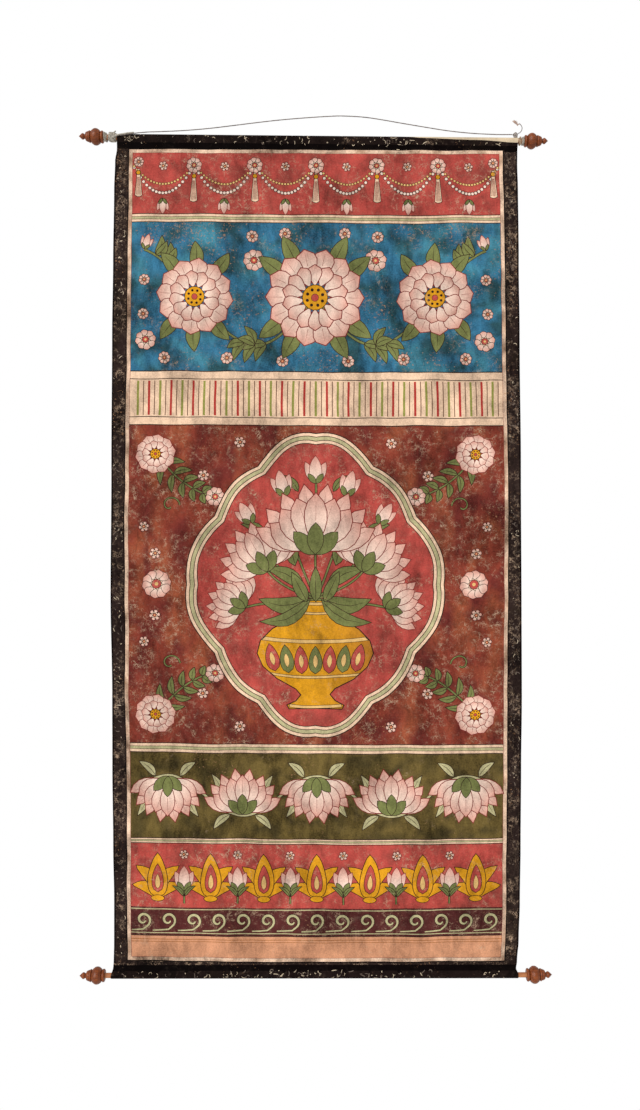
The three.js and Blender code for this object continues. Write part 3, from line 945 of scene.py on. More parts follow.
def stroke(points, wide, paint_used, ends=(1.0, 1.0)):
    """A brush line, with its width at its two ends as shares of its full width."""
    taper = 0.35
    last = len(points) - 1
    sides = []
    for i, here in enumerate(points):
        ahead = points[min(i + 1, last)] - points[max(i - 1, 0)]
        full = 1
        for end, share in zip(ends, (i / last, 1 - i / last)):
            full = min(full, end + (1 - end) * share / taper)
        half = left_of(ahead) * wide / 2 * full
        sides.append((here - half, here + half))
    for (a, b), (c, d) in zip(sides, sides[1:]):
        spot([a, c, d, b], paint_used)


def fade(first, second, start, end, late=1.0):
    """A paint that passes into another between two points, the later the more."""
    start, end = on_cloth(start), on_cloth(end)
    run = end - start

    def at(p):
        share = ((p - start) * run.conjugate()).real / abs(run) ** 2
        share = min(max(share, 0), 1) ** late
        return first * (1 - share) + second * share
    return at


def heading(degrees):
    return complex(math.cos(math.radians(degrees)), math.sin(math.radians(degrees)))


def disc(centre, radius, count=14):
    return [centre + radius * heading(360 * i / count) for i in range(count)]


def midrib(base, tip, bend, share):
    """A point along the middle of a petal or leaf, bent to its left."""
    ahead = tip - base
    return base + share * ahead + left_of(ahead) * bend * abs(ahead) * math.sin(math.pi * share)


def petal(base, tip, wide, peak=0.5, blunt=0.75, steps=8, bend=0.0):
    """Outline of a petal or leaf, widest at peak along it."""
    power = math.log(0.5) / math.log(peak)
    side = left_of(tip - base)
    right, left = [], []
    for i in range(1, steps):
        share = i / steps
        half = wide / 2 * math.sin(math.pi * share ** power) ** blunt
        middle = midrib(base, tip, bend, share)
        right.append(middle - side * half)
        left.append(middle + side * half)
    return [base, *right, tip, *reversed(left)]


def between(points, share):
    """The point at a share of the way through a row of points."""
    place = share * (len(points) - 1)
    i = min(int(place), len(points) - 2)
    return points[i] + (place - i) * (points[i + 1] - points[i])


def box_shape(left, right, top, foot, step=16):
    """A rectangle with points along its sides, so that it can wander."""
    wide, tall = right - left, top - foot
    across = max(1, round(wide / step))
    down = max(1, round(tall / step))
    points = [complex(left + wide * i / across, foot) for i in range(across)]
    points += [complex(right, foot + tall * i / down) for i in range(down)]
    points += [complex(right - wide * i / across, top) for i in range(across)]
    points += [complex(left, top - tall * i / down) for i in range(down)]
    return points


# Flowers, leaves and other motifs

def leaf(base, tip, wide, bend=0.0, paint_used=LEAF):
    outlined(petal(base, tip, wide, 0.42, 0.8, 7, bend), paint_used, 1.3)
    stroke([midrib(base, tip, bend, s) for s in (0.08, 0.3, 0.55, 0.82)], 1.1, INK, (1, 0.3))


def vein(base, tip, start, end):
    """A thin line along a petal, between two shares of its length."""
    stroke([base + (tip - base) * s for s in (start, end)], 0.9, WINE_INK, (1, 0.3))


def blossom(centre, radius, count, turned=0.0):
    """An open flower seen from the front: two rows of petals, and a heart with its seeds."""
    line = radius * 0.012 + 0.6
    for row, (inner, outer) in enumerate(((0.3, 1.0), (0.2, 0.68))):
        wide = 2 * math.pi * radius * outer * 0.74 / count * 1.35
        for i in range(count):
            way = heading(turned + 360 / count * (i + row / 2))
            base, tip = centre + way * radius * inner, centre + way * radius * outer
            shape = petal(base, tip, wide, 0.66, 0.62, 6)
            outlined(shape, fade(PETAL, ROSE, base, tip, 2.0), line, WINE_INK)
            if row == 0:
                vein(base, tip, 0.5, 0.86)
    outlined(disc(centre, radius * 0.27, 18), OCHRE, 1.4)
    for i in range(8):
        spot(disc(centre + heading(45 * i + 20) * radius * 0.17, radius * 0.035, 7), INK)
    outlined(disc(centre, radius * 0.085, 10), CRIMSON, 0.8)


def rosette(centre, radius, count=8):
    """A small flower of one row."""
    outlined(disc(centre, radius * 0.62, 16), CREAM, 1.0)
    for i in range(count):
        way = heading(360 * i / count + 11)
        base, tip = centre + way * radius * 0.3, centre + way * radius
        outlined(petal(base, tip, radius * 0.7, 0.6, 0.6, 6), fade(PETAL, ROSE, base, tip), 1.0, INK)
    outlined(disc(centre, radius * 0.33, 12), CRIMSON, 1.0)
    spot(disc(centre, radius * 0.12, 8), GOLD)


def lotus(base, size, lean=0.0):
    """A lotus from the side: a back row of petals, a fuller front row, and three green sepals."""
    up = size * heading(90 + lean)
    line = 0.9 + size * 0.006
    for count, spread, reach, wide, peak in ((8, 68, 1.0, 0.27, 0.62), (7, 58, 0.84, 0.34, 0.58)):
        angles = [spread * (2 * i / (count - 1) - 1) for i in range(count)]
        for angle in sorted(angles, key=abs, reverse=True):
            start = base + up * 0.04 * heading(angle)
            tip = base + up * heading(angle) * reach * (1 - 0.1 * abs(angle) / spread)
            shape = petal(start, tip, size * wide, peak, 0.7, 6, 0.07 * angle / spread)
            outlined(shape, fade(PETAL, ROSE, start, tip, 2.2), line, WINE_INK)
            vein(start, tip, 0.5, 0.84)
    for angle in (48, -48, 0):
        tip = base + up * heading(angle) * 0.42
        outlined(petal(base - up * 0.05, tip, size * 0.24, 0.5, 0.7, 7), LEAF, 1.2)


def bud(base, size, lean=0.0):
    """A closed flower: three petals and two sepals."""
    up = size * heading(90 + lean)
    for angle, reach, wide in ((24, 0.86, 0.34), (-24, 0.86, 0.34), (0, 1.0, 0.44)):
        tip = base + up * heading(angle) * reach
        shape = petal(base, tip, size * wide, 0.45, 0.7, 8)
        outlined(shape, fade(PETAL, ROSE, base, tip, 1.5), 1.1, WINE_INK)
    for angle in (34, -34):
        outlined(petal(base, base + up * heading(angle) * 0.46, size * 0.22, 0.5, 0.7, 6), LEAF, 1.1)


def stem(points, wide=4.0, paint_used=LEAF):
    stroke(points, wide + 2.2, INK)
    stroke(points, wide, paint_used)


def spiral(centre, radius, start, sweep, steps=16, tight=0.22):
    return [centre + radius * (1 - (1 - tight) * i / steps) * heading(start + sweep * i / steps)
            for i in range(steps + 1)]


def pearls(points, radius, paint_used):
    """Beads strung along a line."""
    pitch = radius * 2.15
    count = int(sum(abs(b - a) for a, b in zip(points, points[1:])) / pitch)
    for i in range(count):
        outlined(disc(between(points, (i + 0.5) / count), radius, 6), paint_used, radius * 0.26)


def tassel(top, long):
    """A hanging tassel: a skirt with its strands, and the cap over it."""
    foot = top - 1j * long
    skirt = [top - 3, foot - 8, foot - 3 - 2.5j, foot - 3j, foot + 3 - 2.5j, foot + 8, top + 3]
    outlined(skirt, CREAM, 1.2)
    for side in (-4.2, -1.4, 1.4, 4.2):
        stroke([top - long * 0.3j + side * 0.5, foot + 2j + side], 1.0, WINE_INK)
    outlined(disc(top - long * 0.14j, 5.2, 12), OCHRE, 1.2)


def palmette(base, size):
    """A flame-shaped palmette on a small foot, with curled side leaves."""
    for side in (1, -1):
        for angle, reach, wide in ((62, 0.62, 0.26), (34, 0.86, 0.3)):
            tip = base + size * reach * heading(90 - side * angle)
            outlined(petal(base, tip, size * wide, 0.5, 0.7, 9, 0.16 * side), OCHRE, 1.4)
    outlined(petal(base, base + size * 1j, size * 0.46, 0.36, 0.7, 12), OCHRE, 1.5)
    outlined(petal(base + size * 0.12j, base + size * 0.76j, size * 0.27, 0.36, 0.7, 10), CRIMSON, 1.2)
    outlined(petal(base + size * 0.2j, base + size * 0.54j, size * 0.12, 0.4, 0.7, 7), GOLD, 0.8)
    outlined(petal(base - size * 0.16, base + size * 0.16, size * 0.15, 0.5, 0.5, 8), OCHRE, 1.2)


# The painted picture, from the head down

def field(top, foot, paint_used):
    """A band of one paint across the panel."""
    spot(box_shape(PANEL["left"], PANEL["right"], top, foot), paint_used)


def divider(top, foot):
    """A cream rail with a green line along its middle and dark lines at its edges."""
    field(top, foot, INK)
    field(top - 1.6, foot + 1.6, CREAM)
    third = (top - foot) / 3
    field(top - third, foot + third, INK)
    field(top - third - 0.9, foot + third + 0.9, SAGE)


def paint_frame():
    """The cream fillet round the panel, with its dark lines."""
    lines = ((FILLET_WIDE + FILLET_LINE, FRAME_LINE_AND_EDGE_SHADE), (FILLET_WIDE, FILLET_GROUND), (0.7, WINE_INK))
    for grow, paint_used in lines:
        left, right = PANEL["left"] - grow, PANEL["right"] + grow
        spot(box_shape(left, right, PANEL["top"] + grow, PANEL["foot"] - grow), paint_used)


def paint_garlands(top, foot):
    """Swags of pearls hung from rosettes, with tassels between."""
    field(top, foot, CRIMSON_GROUND)
    swags = 6
    step = PANEL_WIDE / swags
    anchor = top - 24
    for i in range(swags):
        start = PANEL["left"] + step * i
        for sag, radius, paint_used in ((56, 4.2, PETAL), (38, 3.2, GOLD)):
            shares = np.linspace(0, 1, 24)
            line = [complex(start + step * s, anchor - sag * 4 * s * (1 - s)) for s in shares]
            pearls(line, radius, paint_used)
        middle = complex(start + step / 2, anchor - 66)
        bud(middle, 34, 180)
        rosette(middle + 64j, 10, 6)
    for i in range(1, swags):
        joint = complex(PANEL["left"] + step * i, anchor)
        tassel(joint - 14j, 58)
        rosette(joint, 17)
    for x in (PANEL["left"] + 12, PANEL["right"] - 12):
        tassel(complex(x, anchor - 8), 54)
        rosette(complex(x, anchor + 6), 11)


# The waving stem behind the great blossoms: how high it waves, and the width of half a wave
WAVE = {"tall": 96, "long": 240}
# Its leaves: distance along it, and whether they point up or down; and the small flowers about it
WAVE_LEAVES = ((98, -1), (120, -1), (142, -1), (120, 1), (300, 1), (318, 1))
SMALL_FLOWERS = (
    (122, 74, 23), (338, -88, 22), (126, 122, 13), (344, -34, 12), (342, 34, 12), (300, -124, 13),
    (176, -124, 13), (60, 128, 13), (66, -128, 13),
)


def paint_blossoms(top, foot):
    """Blue ground with a waving stem, three great blossoms, leaves and small flowers."""
    field(top, foot, BLUE_GROUND)
    centre = complex(MIDDLE, (top + foot) / 2)
    for side in (1, -1):
        def on_stem(x):
            rise = WAVE["tall"] * math.sin(x / WAVE["long"] * math.pi)
            return complex(MIDDLE + side * x, centre.imag - rise)
        line = [on_stem(x) for x in range(0, 350, 9)]
        stem(line, 3.8)
        for x, wave in WAVE_LEAVES:
            for lean, reach in ((30, 44), (72, 38)):
                way = heading(90 * wave - side * wave * lean * (1 if x < 300 else -0.5))
                leaf(on_stem(x), on_stem(x) + way * reach, 19, 0.12 * side)
        bud(line[-1], 34, 16 * side)
        great = centre + side * WAVE["long"]
        for angle in (52, 90, 128, 232, 270, 308):
            leaf(great + heading(angle) * 54, great + heading(angle) * 112, 30, 0.06 * side)
        for x, z, size in SMALL_FLOWERS:
            rosette(centre + complex(side * x, z), size)
        blossom(great, 78, 12, 6 * side)
    for angle in (36, 62, 118, 144, 216, 242, 298, 324):
        leaf(centre + heading(angle) * 70, centre + heading(angle) * 140, 34)
    blossom(centre, 100, 14)


def paint_stripes(top, foot):
    """A cream panel ruled with upright stripes, red and green by turns, with a thin line after each."""
    field(top, foot, INK)
    field(top - 2, foot + 2, CREAM)
    field(top - 16, top - 17.6, INK)
    field(foot + 17.6, foot + 16, INK)
    pitch = 22
    upper, lower = top - 20, foot + 20
    for i in range(int(PANEL_WIDE / pitch)):
        x = PANEL["left"] + 16 + i * pitch
        spot(box_shape(x - 2.2, x + 2.2, upper, lower, 12), STRIPE_RED if i % 2 else STRIPE_GREEN)
        spot(box_shape(x + pitch / 2 - 0.9, x + pitch / 2 + 0.9, upper, lower, 20), STRIPE_LINE)


def medallion_shape(half_wide, half_tall):
    """A pointed oval with scalloped edges."""
    steps, lobes, power = 132, 12, 1.5
    points = []
    for i in range(steps):
        angle = 2 * math.pi * i / steps
        c, s = math.cos(angle), math.sin(angle)
        reach = (abs(c) ** power + abs(s) ** power) ** (-1 / power)
        reach *= 1 + 0.045 * abs(math.sin(lobes / 2 * angle))
        points.append(complex(half_wide * reach * c, half_tall * reach * s))
    return points


# The vase, as shares of its half width and its height: its outline, and the bands round it
VASE = [
    (0.46, 0), (0.5, 0.04), (0.34, 0.08), (0.26, 0.13), (0.34, 0.18), (0.66, 0.27), (0.9, 0.38), (1.0, 0.5),
    (0.94, 0.62), (0.74, 0.73), (0.46, 0.81), (0.34, 0.87), (0.38, 0.93), (0.56, 0.985), (0.58, 1.0),
]
VASE_BANDS = ((0.02, 0.05), (0.3, 0.33), (0.62, 0.655), (0.86, 0.885), (0.95, 0.985))


def paint_vase(foot, half, tall):
    """A banded ochre vase on a stepped foot; foot is the middle of its base."""
    right = [foot + complex(half * w, tall * h) for w, h in VASE]
    left = [foot + complex(-half * w, tall * h) for w, h in reversed(VASE)]
    outlined([foot, *right, *left], fade(OCHRE, BROWN, foot - half * 0.2, foot + half * 1.2, 1.6), 2.0)

    def wide_at(h):
        return half * np.interp(h, [row[1] for row in VASE], [row[0] for row in VASE])

    for low, high in VASE_BANDS:
        band = []
        for level, way in ((low, 1), (high, -1)):
            reach = wide_at(level) - 2.4
            for s in np.linspace(-1, 1, 9):
                droop = 0.035 * tall * (s * s - 1) * (wide_at(level) / half)
                band.append(foot + complex(way * s * reach, level * tall + droop))
        outlined(band, GOLD, 1.0)
    for i in range(-3, 4):
        reach = wide_at(0.47) * 0.27 * i
        droop = 0.03 * tall * (1 - (i / 3.4) ** 2)
        base = foot + complex(reach * 0.86, tall * 0.345 - droop)
        tip = foot + complex(reach, tall * 0.6 - droop)
        outlined(petal(base, tip, half * 0.24, 0.4, 0.7, 8), CRIMSON if i % 2 else LEAF, 1.2)
        low, high = base + 0.2 * (tip - base), base + 0.7 * (tip - base)
        outlined(petal(low, high, half * 0.09, 0.5, 0.7, 5), GOLD, 0.6)


# The bouquet, from the vase's mouth: place, lean and size of its lotus flowers and buds, and its leaves
BOUQUET_FLOWERS = (
    (0, 96, 0, 142), (96, 58, -28, 104), (-96, 58, 28, 104), (140, -18, -58, 80), (-140, -18, 58, 80),
)
BOUQUET_BUDS = (
    (0, 232, 0, 58), (60, 206, -14, 56), (-60, 206, 14, 56), (124, 150, -30, 52), (-124, 150, 30, 52),
)
BOUQUET_LEAVES = table(
    "x z reach angle bend",
    (22, 24, 84, 26, 0.1), (40, 66, 84, 62, 0.1), (16, 0, 96, 0, -0.14), (96, 128, 56, 24, 0.1),
    (30, 150, 56, 62, 0.1), (34, 216, 44, 50, 0.1),
)


def paint_bouquet(mouth):
    """Stems, leaves, lotus flowers and buds rising evenly from the vase."""
    for x, z, lean, size in (*BOUQUET_BUDS, *BOUQUET_FLOWERS):
        way = complex(x, z)
        line = [mouth + way * s + x * 0.16 * math.sin(math.pi * s) for s in np.linspace(0, 1, 14)]
        stem(line, 3.2)
    for side in (1, -1):
        for row in BOUQUET_LEAVES:
            base = mouth + complex(side * row["x"], row["z"])
            way = heading(row["angle"] if side > 0 else 180 - row["angle"])
            leaf(base, base + way * row["reach"], row["reach"] * 0.36, row["bend"] * side)
    for x, z, lean, size in BOUQUET_BUDS:
        bud(mouth + complex(x, z), size, lean)
    for x, z, lean, size in reversed(BOUQUET_FLOWERS):
        lotus(mouth + complex(x, z), size, lean)
    for side in (1, -1):
        leaf(mouth + side * 10, mouth + complex(side * 112, -46), 30, -0.16 * side)
    for x, reach in ((-34, 56), (34, 56), (0, 66)):
        leaf(mouth + complex(x * 0.5, -6), mouth + complex(x * 1.4, reach), 26, 0)


def spray(root, sideways, upwards):
    """A curving spray of leaves and flowers for a corner of the main field."""
    line = []
    for s in np.linspace(0, 1, 16):
        line.append(root + complex(sideways * 118 * s, upwards * (150 * s - 66 * s * s)))
    stem(line, 3.0)
    for i, s in enumerate((0.14, 0.3, 0.46, 0.62, 0.78)):
        here = between(line, s)
        ahead = between(line, s + 0.06) - here
        ahead /= abs(ahead)
        for side in (1, -1):
            leaf(here, here + ahead * heading(side * 52) * (44 - 5 * i), 15, 0.1 * side)
    blossom(root, 41, 10, 9)
    rosette(line[-1], 20)
    heart = between(line, 0.5) + complex(-sideways * 30, upwards * 44)
    stem(spiral(heart, 20, 90 - 90 * sideways, 300 * sideways), 2.2)


# Lines round the medallion, from its edge inwards, and the small flowers outside it: place and size
MEDALLION_LINES = ((0, INK), (2, CREAM), (7.4, INK), (8.8, SAGE), (15.4, INK), (16.8, CREAM), (22, INK))
FIELD_FLOWERS = (
    (316, 62, 12), (316, -62, 12), (222, 220, 12), (222, -220, 12), (338, 116, 11), (338, -116, 11),
)


def paint_main_field(top, foot):
    """Rust ground, a scalloped medallion with vase and flowers, and a spray in each corner."""
    field(top, foot, RUST_GROUND)
    centre = complex(MIDDLE, (top + foot) / 2)
    for side in (1, -1):
        for level in (1, -1):
            spray(centre + complex(side * 316, level * 262), -side, -level)
        rosette(centre + complex(side * 312, 0), 30, 10)
        for x, z, size in FIELD_FLOWERS:
            rosette(centre + complex(side * x, z), size, 6)
    for level in (1, -1):
        for x in (-150, 150):
            rosette(centre + complex(x, level * 286), 12, 6)
    edge = [centre + p for p in medallion_shape(254, 306)]
    for gap, paint_used in MEDALLION_LINES:
        spot(inset(edge, gap) if gap else edge, paint_used)
    spot(inset(edge, 23.6), CRIMSON_GROUND)
    paint_vase(centre + complex(0, -250), 116, 224)
    paint_bouquet(centre + complex(0, -28))


def paint_vine(top, foot):
    """Olive ground with a waving vine and pink lotus in each bend."""
    field(top, foot, OLIVE_GROUND)
    middle = (top + foot) / 2
    bends = 5
    step = PANEL_WIDE / bends
    line = [complex(x, middle + 40 * math.sin(math.pi * (x - PANEL["left"]) / step))
            for x in range(PANEL["left"] + 3, PANEL["right"] - 2, 8)]
    stem(line, 4.0, SAGE)
    for i in range(bends):
        way = 1 if i % 2 else -1
        centre = complex(PANEL["left"] + step * (i + 0.5), middle)
        for side in (1, -1):
            low, high = centre + complex(side * 40, -way * 22), centre + complex(side * 62, way * 44)
            leaf(low, high, 20, 0.12 * side * way, SAGE)
            low, high = centre + complex(side * 24, -way * 38), centre + complex(side * 58, -way * 68)
            leaf(low, high, 17, 0.1 * side, SAGE)
        lotus(centre - way * 34j, 92, 0 if way > 0 else 180)


def paint_palmettes(top, foot):
    """Crimson ground with ochre palmettes and buds by turns."""
    field(top, foot, CRIMSON_GROUND)
    count = 7
    step = PANEL_WIDE / count
    for i in range(count):
        palmette(complex(PANEL["left"] + step * (i + 0.5), foot + 18), 92)
    for i in range(1, count):
        base = complex(PANEL["left"] + step * i, foot + 22)
        stem([base - 14j, base - 4j, base + 12j], 2.4)
        bud(base + 10j, 52)
        for side in (1, -1):
            leaf(base, base + complex(side * 24, 22), 10, 0.12 * side)
        rosette(complex(base.real, top - 22), 10, 6)


def paint_running_scroll(top, foot):
    """Maroon ground with pale green curls that run one into the next."""
    field(top, foot, MAROON)
    middle = (top + foot) / 2
    count = 15
    step = PANEL_WIDE / count
    for i in range(count):
        centre = complex(PANEL["left"] + step * (i + 0.5), middle + 2)
        start = max(centre.real - step * 0.62, PANEL["left"] + 2)
        tail = ((start, 9), (centre.real - step * 0.3, 9.6), (centre.real, 11))
        curve = [complex(x, foot + rise) for x, rise in tail] + spiral(centre, 15, -62, 400, 18, 0.3)
        stroke(curve, 7.4, INK, (0.5, 0.5))
        stroke(curve, 4.8, SAGE, (0.5, 0.5))
    field(foot + 5, foot + 3.2, SAGE)
    field(top - 3.2, top - 5, SAGE)


def paint_plain_band(top, foot):
    """Salmon, with two brown lines under its upper edge."""
    field(top, foot, INK)
    field(top - 2, foot, SALMON)
    field(top - 8, top - 9.2, BROWN)
    field(top - 13, top - 14, BROWN)


# The picture's bands, each from one height down to another
BANDS = (
    (paint_garlands, -74, -196), (divider, -196, -214), (paint_blossoms, -214, -512),
    (paint_stripes, -512, -622), (paint_main_field, -622, -1262), (divider, -1262, -1282),
    (paint_vine, -1282, -1452),
    (divider, -1452, -1464), (paint_palmettes, -1464, -1592), (paint_running_scroll, -1592, -1648),
    (paint_plain_band, -1648, -1692),
)


def paint_picture():
    paint_frame()
    for painter, top, foot in BANDS:
        painter(top, foot)


# The sheet: x across and t along the cloth, where t is the height between the two lines of stitching
# and runs on round the pockets beyond them

def ease(value):
    value = np.clip(value, 0, 1)
    return value * value * (3 - 2 * value)


def side_tables():
    """The side edges' places every 2 mm of height, eased from row to row of the table of edges."""
    heights = np.arange(EDGES[-1]["z"], EDGES[0]["z"] + 1, 2.0)
    tables = {"z": heights}
    rows = EDGES[::-1]
    for side in ("left", "right"):
        values = []
        for z in heights:
            k = min(max(sum(row["z"] <= z for row in rows), 1), len(rows) - 1)
            low, high = rows[k - 1], rows[k]
            share = ease((z - low["z"]) / (high["z"] - low["z"]))
            values.append(low[side] + share * (high[side] - low[side]))
        tables[side] = values
    return tables


SIDES = side_tables()


def edge_x(side, z):
    return np.interp(z, SIDES["z"], SIDES[side])


def stitch_line(rod, x):
    """The height of a rod's line of stitching."""
    return rod_height(rod, x) - rod["up"] * rod["stitch"]


def pocket_path(rod):
    """Middle of the cloth round a rod: distance run, y, and height over the axis, away from the picture."""
    contact = math.asin(POCKET_RADIUS / rod["stitch"])
    bottom = np.array((SEAM_HALF, -rod["stitch"]))
    lean = np.array((POCKET_RADIUS * math.cos(contact), -POCKET_RADIUS * math.sin(contact))) - bottom
    leg = [bottom + lean * s for s in (0, 0.25, 0.5, 0.75)]
    points = [(-y, up) for y, up in leg]
    for angle in np.linspace(math.pi + contact, -contact, 21):
        points.append((POCKET_RADIUS * math.cos(angle), POCKET_RADIUS * math.sin(angle)))
    points += reversed(leg)
    for share, spread in ((0.5, 0.12), (1, 0.35)):
        points.append((bottom[0] + spread, bottom[1] - HEM_TURN * share))
    run = [0.0]
    for a, b in zip(points, points[1:]):
        run.append(run[-1] + math.dist(a, b))
    return (np.array(run), *np.array(points).T)


POCKETS = {"top": pocket_path(TOP_ROD), "foot": pocket_path(FOOT_ROD)}


def crease_depth(x, z):
    """Depth of the troughs at each point, and how close it is to a fold."""
    deep, near = np.zeros_like(x), np.zeros_like(x)
    for row in CREASES:
        run = np.array([row["x1"] - row["x0"], row["z1"] - row["z0"]])
        share = ((x - row["x0"]) * run[0] + (z - row["z0"]) * run[1]) / (run @ run)
        inside = np.clip(share, 0, 1)
        bow = CREASE_BOW * np.sin(math.pi * inside)
        away = np.hypot(x - row["x0"] - run[0] * inside, z - row["z0"] - run[1] * inside + bow)
        ends = np.sin(math.pi * np.clip(share * 0.9 + 0.05, 0, 1)) ** 0.5
        trough = np.exp(-(away / row["wide"]) ** 2) * ends
        deep += row["deep"] * trough
        fold = np.exp(-(away / FOLD_WIDE) ** 2) * (row["deep"] / FOLD_DEEP) * trough ** 0.3
        near = np.maximum(near, fold)
    return deep, near


def cloth_points(x, t):
    """Middle of the cloth in millimetres for points of the flat sheet."""
    top, foot = stitch_line(TOP_ROD, x), stitch_line(FOOT_ROD, x)
    points = np.stack([x, np.full_like(x, CLOTH_MIDDLE), t], axis=1)
    out = np.zeros_like(x)
    for row in SWELLS:
        dz = (t - row["z"]) / row["tall"]
        dx = (x - row["x"] - row["slant"] * (t - row["z"])) / row["wide"]
        out += row["out"] * np.exp(-dx * dx - dz * dz)
    out *= ease((top - t) / SWELL_FADE) * ease((t - foot) / SWELL_FADE)
    deep, _ = crease_depth(x, t)
    to_side = np.minimum(x - edge_x("left", t), edge_x("right", t) - x)
    rolled = EDGE_ROLL["back"] * np.exp(-(to_side / EDGE_ROLL["wide"]) ** 2)
    out += (deep + rolled) * ease((top - t) / CREASE_FADE) * ease((t - foot) / CREASE_FADE)
    points[:, 1] += out
    for rod, name, beyond in ((TOP_ROD, "top", t - top), (FOOT_ROD, "foot", foot - t)):
        run, y, up = POCKETS[name]
        inside = beyond > 0
        points[inside, 1] = np.interp(beyond[inside], run, y)
        points[inside, 2] = rod_height(rod, x[inside]) + rod["up"] * np.interp(beyond[inside], run, up)
    return points


def cloth_faces(x, t, side):
    """Points of one face of the cloth: side is 1 for the painted face and -1 for the back."""
    small = 0.2
    across = cloth_points(x + small, t) - cloth_points(x - small, t)
    along = cloth_points(x, t + small) - cloth_points(x, t - small)
    normal = np.cross(across, along)
    normal /= np.linalg.norm(normal, axis=1)[:, None]
    return cloth_points(x, t) + normal * (CLOTH / 2 * side)


def paint_limit(x):
    """Where the paint ends over the head, as t."""
    reach = np.interp(x, [p[0] for p in PAINT_TOP], [p[1] for p in PAINT_TOP])
    return stitch_line(TOP_ROD, x) + reach + 0.6 * noise.noise(Vector((x / 24, 4.0, 0)))


SIDE_ROWS = 250
END_POINTS = 96


def side_rows(side):
    """Rows of t down one side edge, from the foot's hem to the head's."""
    x_top, x_foot = edge_x(side, TOP_ROD["z_left"]), edge_x(side, FOOT_ROD["z_left"])
    top, foot = stitch_line(TOP_ROD, x_top), stitch_line(FOOT_ROD, x_foot)
    rows = [foot - run for run in POCKETS["foot"][0][::-1]]
    rows += list(np.linspace(foot, top, SIDE_ROWS)[1:-1])
    rows += [top + run for run in POCKETS["top"][0]]
    return np.array(rows)


def height_of(x, t):
    return cloth_points(np.full(1, float(x)), np.full(1, float(t)))[0, 2]


def side_line(side):
    """One side edge from foot to head, with a point where the paint ends over the head."""
    guess = edge_x(side, -800)
    points = [complex(edge_x(side, height_of(guess, t)), t) for t in side_rows(side)]
    limit = [complex(p.real, paint_limit(p.real)) for p in points]
    nearest = min(range(len(points)), key=lambda i: abs(points[i] - limit[i]))
    points[nearest] = limit[nearest]
    return points


def end_line(start, stop, rod, name):
    """The sheet's end beyond a pocket, between its two corners."""
    beyond = rod["up"] * POCKETS[name][0][-1]
    points = []
    for i in range(1, END_POINTS):
        x = start.real + i / END_POINTS * (stop.real - start.real)
        points.append((complex(x, stitch_line(rod, x) + beyond), name))
    return points


def make_rim():
    """The sheet's outline on the flat, counterclockwise, as x + it, with the side each point is on."""
    left, right = side_line("left"), side_line("right")
    rim = [(left[0], "foot"), *end_line(left[0], right[0], FOOT_ROD, "foot")]
    rim += [(p, "right") for p in right]
    rim += end_line(right[-1], left[-1], TOP_ROD, "top")
    rim += [(p, "left") for p in reversed(left[1:])]
    return rim


# The net of points in the mesh: its end rows, how uneven it is, and how far it keeps from the side edges
NET = {"top": -72.0, "foot": -1699.0, "uneven": 0.2, "margin": 2.0, "pocket_margin": 2.5}


def net_points(pitch, columns, crease_step, rng):
    """A slightly uneven net of points over the sheet, closer round the rods and along creases."""
    points = []
    tall = NET["top"] - NET["foot"]
    rows = int(tall / pitch)
    for j in range(rows + 1):
        t = NET["foot"] + tall * j / rows
        low, high = edge_x("left", t), edge_x("right", t)
        count = int((high - low - 3) / pitch)
        for i in range(count + 1):
            x = low + NET["margin"] + (high - low - 2 * NET["margin"]) * i / count
            if 0 < i < count:
                x += rng.uniform(-NET["uneven"], NET["uneven"]) * pitch
            drift = rng.uniform(-NET["uneven"], NET["uneven"]) * pitch * (0 < j < rows)
            points.append(complex(x, t + drift))
    for rod, name in ((TOP_ROD, "top"), (FOOT_ROD, "foot")):
        run, _, up = POCKETS[name]
        for beyond in (-SHADE_BELOW, *run[:-1:2]):
            z = rod_height(rod, 0) + rod["up"] * np.interp(beyond, run, up)
            low, high = edge_x("left", z) + NET["pocket_margin"], edge_x("right", z) - NET["pocket_margin"]
            for x in np.linspace(low, high, columns):
                points.append(complex(x, stitch_line(rod, x) + rod["up"] * (beyond + 0.01)))
    for row in CREASES:
        start = complex(row["x0"], row["z0"])
        ahead = complex(row["x1"], row["z1"]) - start
        for s in np.arange(0.02, 0.99, crease_step / abs(ahead)):
            for off in (-1.2, -0.6, 0, 0.6, 1.2):
                p = start + ahead * s + left_of(ahead) * off * row["wide"]
                low, high = edge_x("left", p.imag) + NET["margin"], edge_x("right", p.imag) - NET["margin"]
                if low < p.real < high:
                    points.append(p)
    return points


def topmost(centres, outlines):
    """The last of the outlines, counted from 1, that goes round each point, or 0 where none does."""
    order = np.argsort(centres[:, 1])
    x, y = centres[order].T
    found = np.zeros(len(x), dtype=int)
    for number, outline in enumerate(outlines, 1):
        rows = np.searchsorted(y, [p.imag for p in outline]).tolist()
        low, high = min(rows), max(rows)
        turns = np.zeros(high - low, dtype=int)
        for n, (there, end) in enumerate(zip(outline, rows)):
            here, start = outline[n - 1], rows[n - 1]
            if start == end:
                continue
            first, last = min(start, end), max(start, end)
            lean = (there.real - here.real) / (there.imag - here.imag)
            crossing = here.real + (y[first:last] - here.imag) * lean
            turns[first - low:last - low] += (x[first:last] < crossing) * (1 if end > start else -1)
        found[low:high][turns > 0] = number
    owners = np.zeros(len(x), dtype=int)
    owners[order] = found
    return owners


MERGE_GAP = 0.01


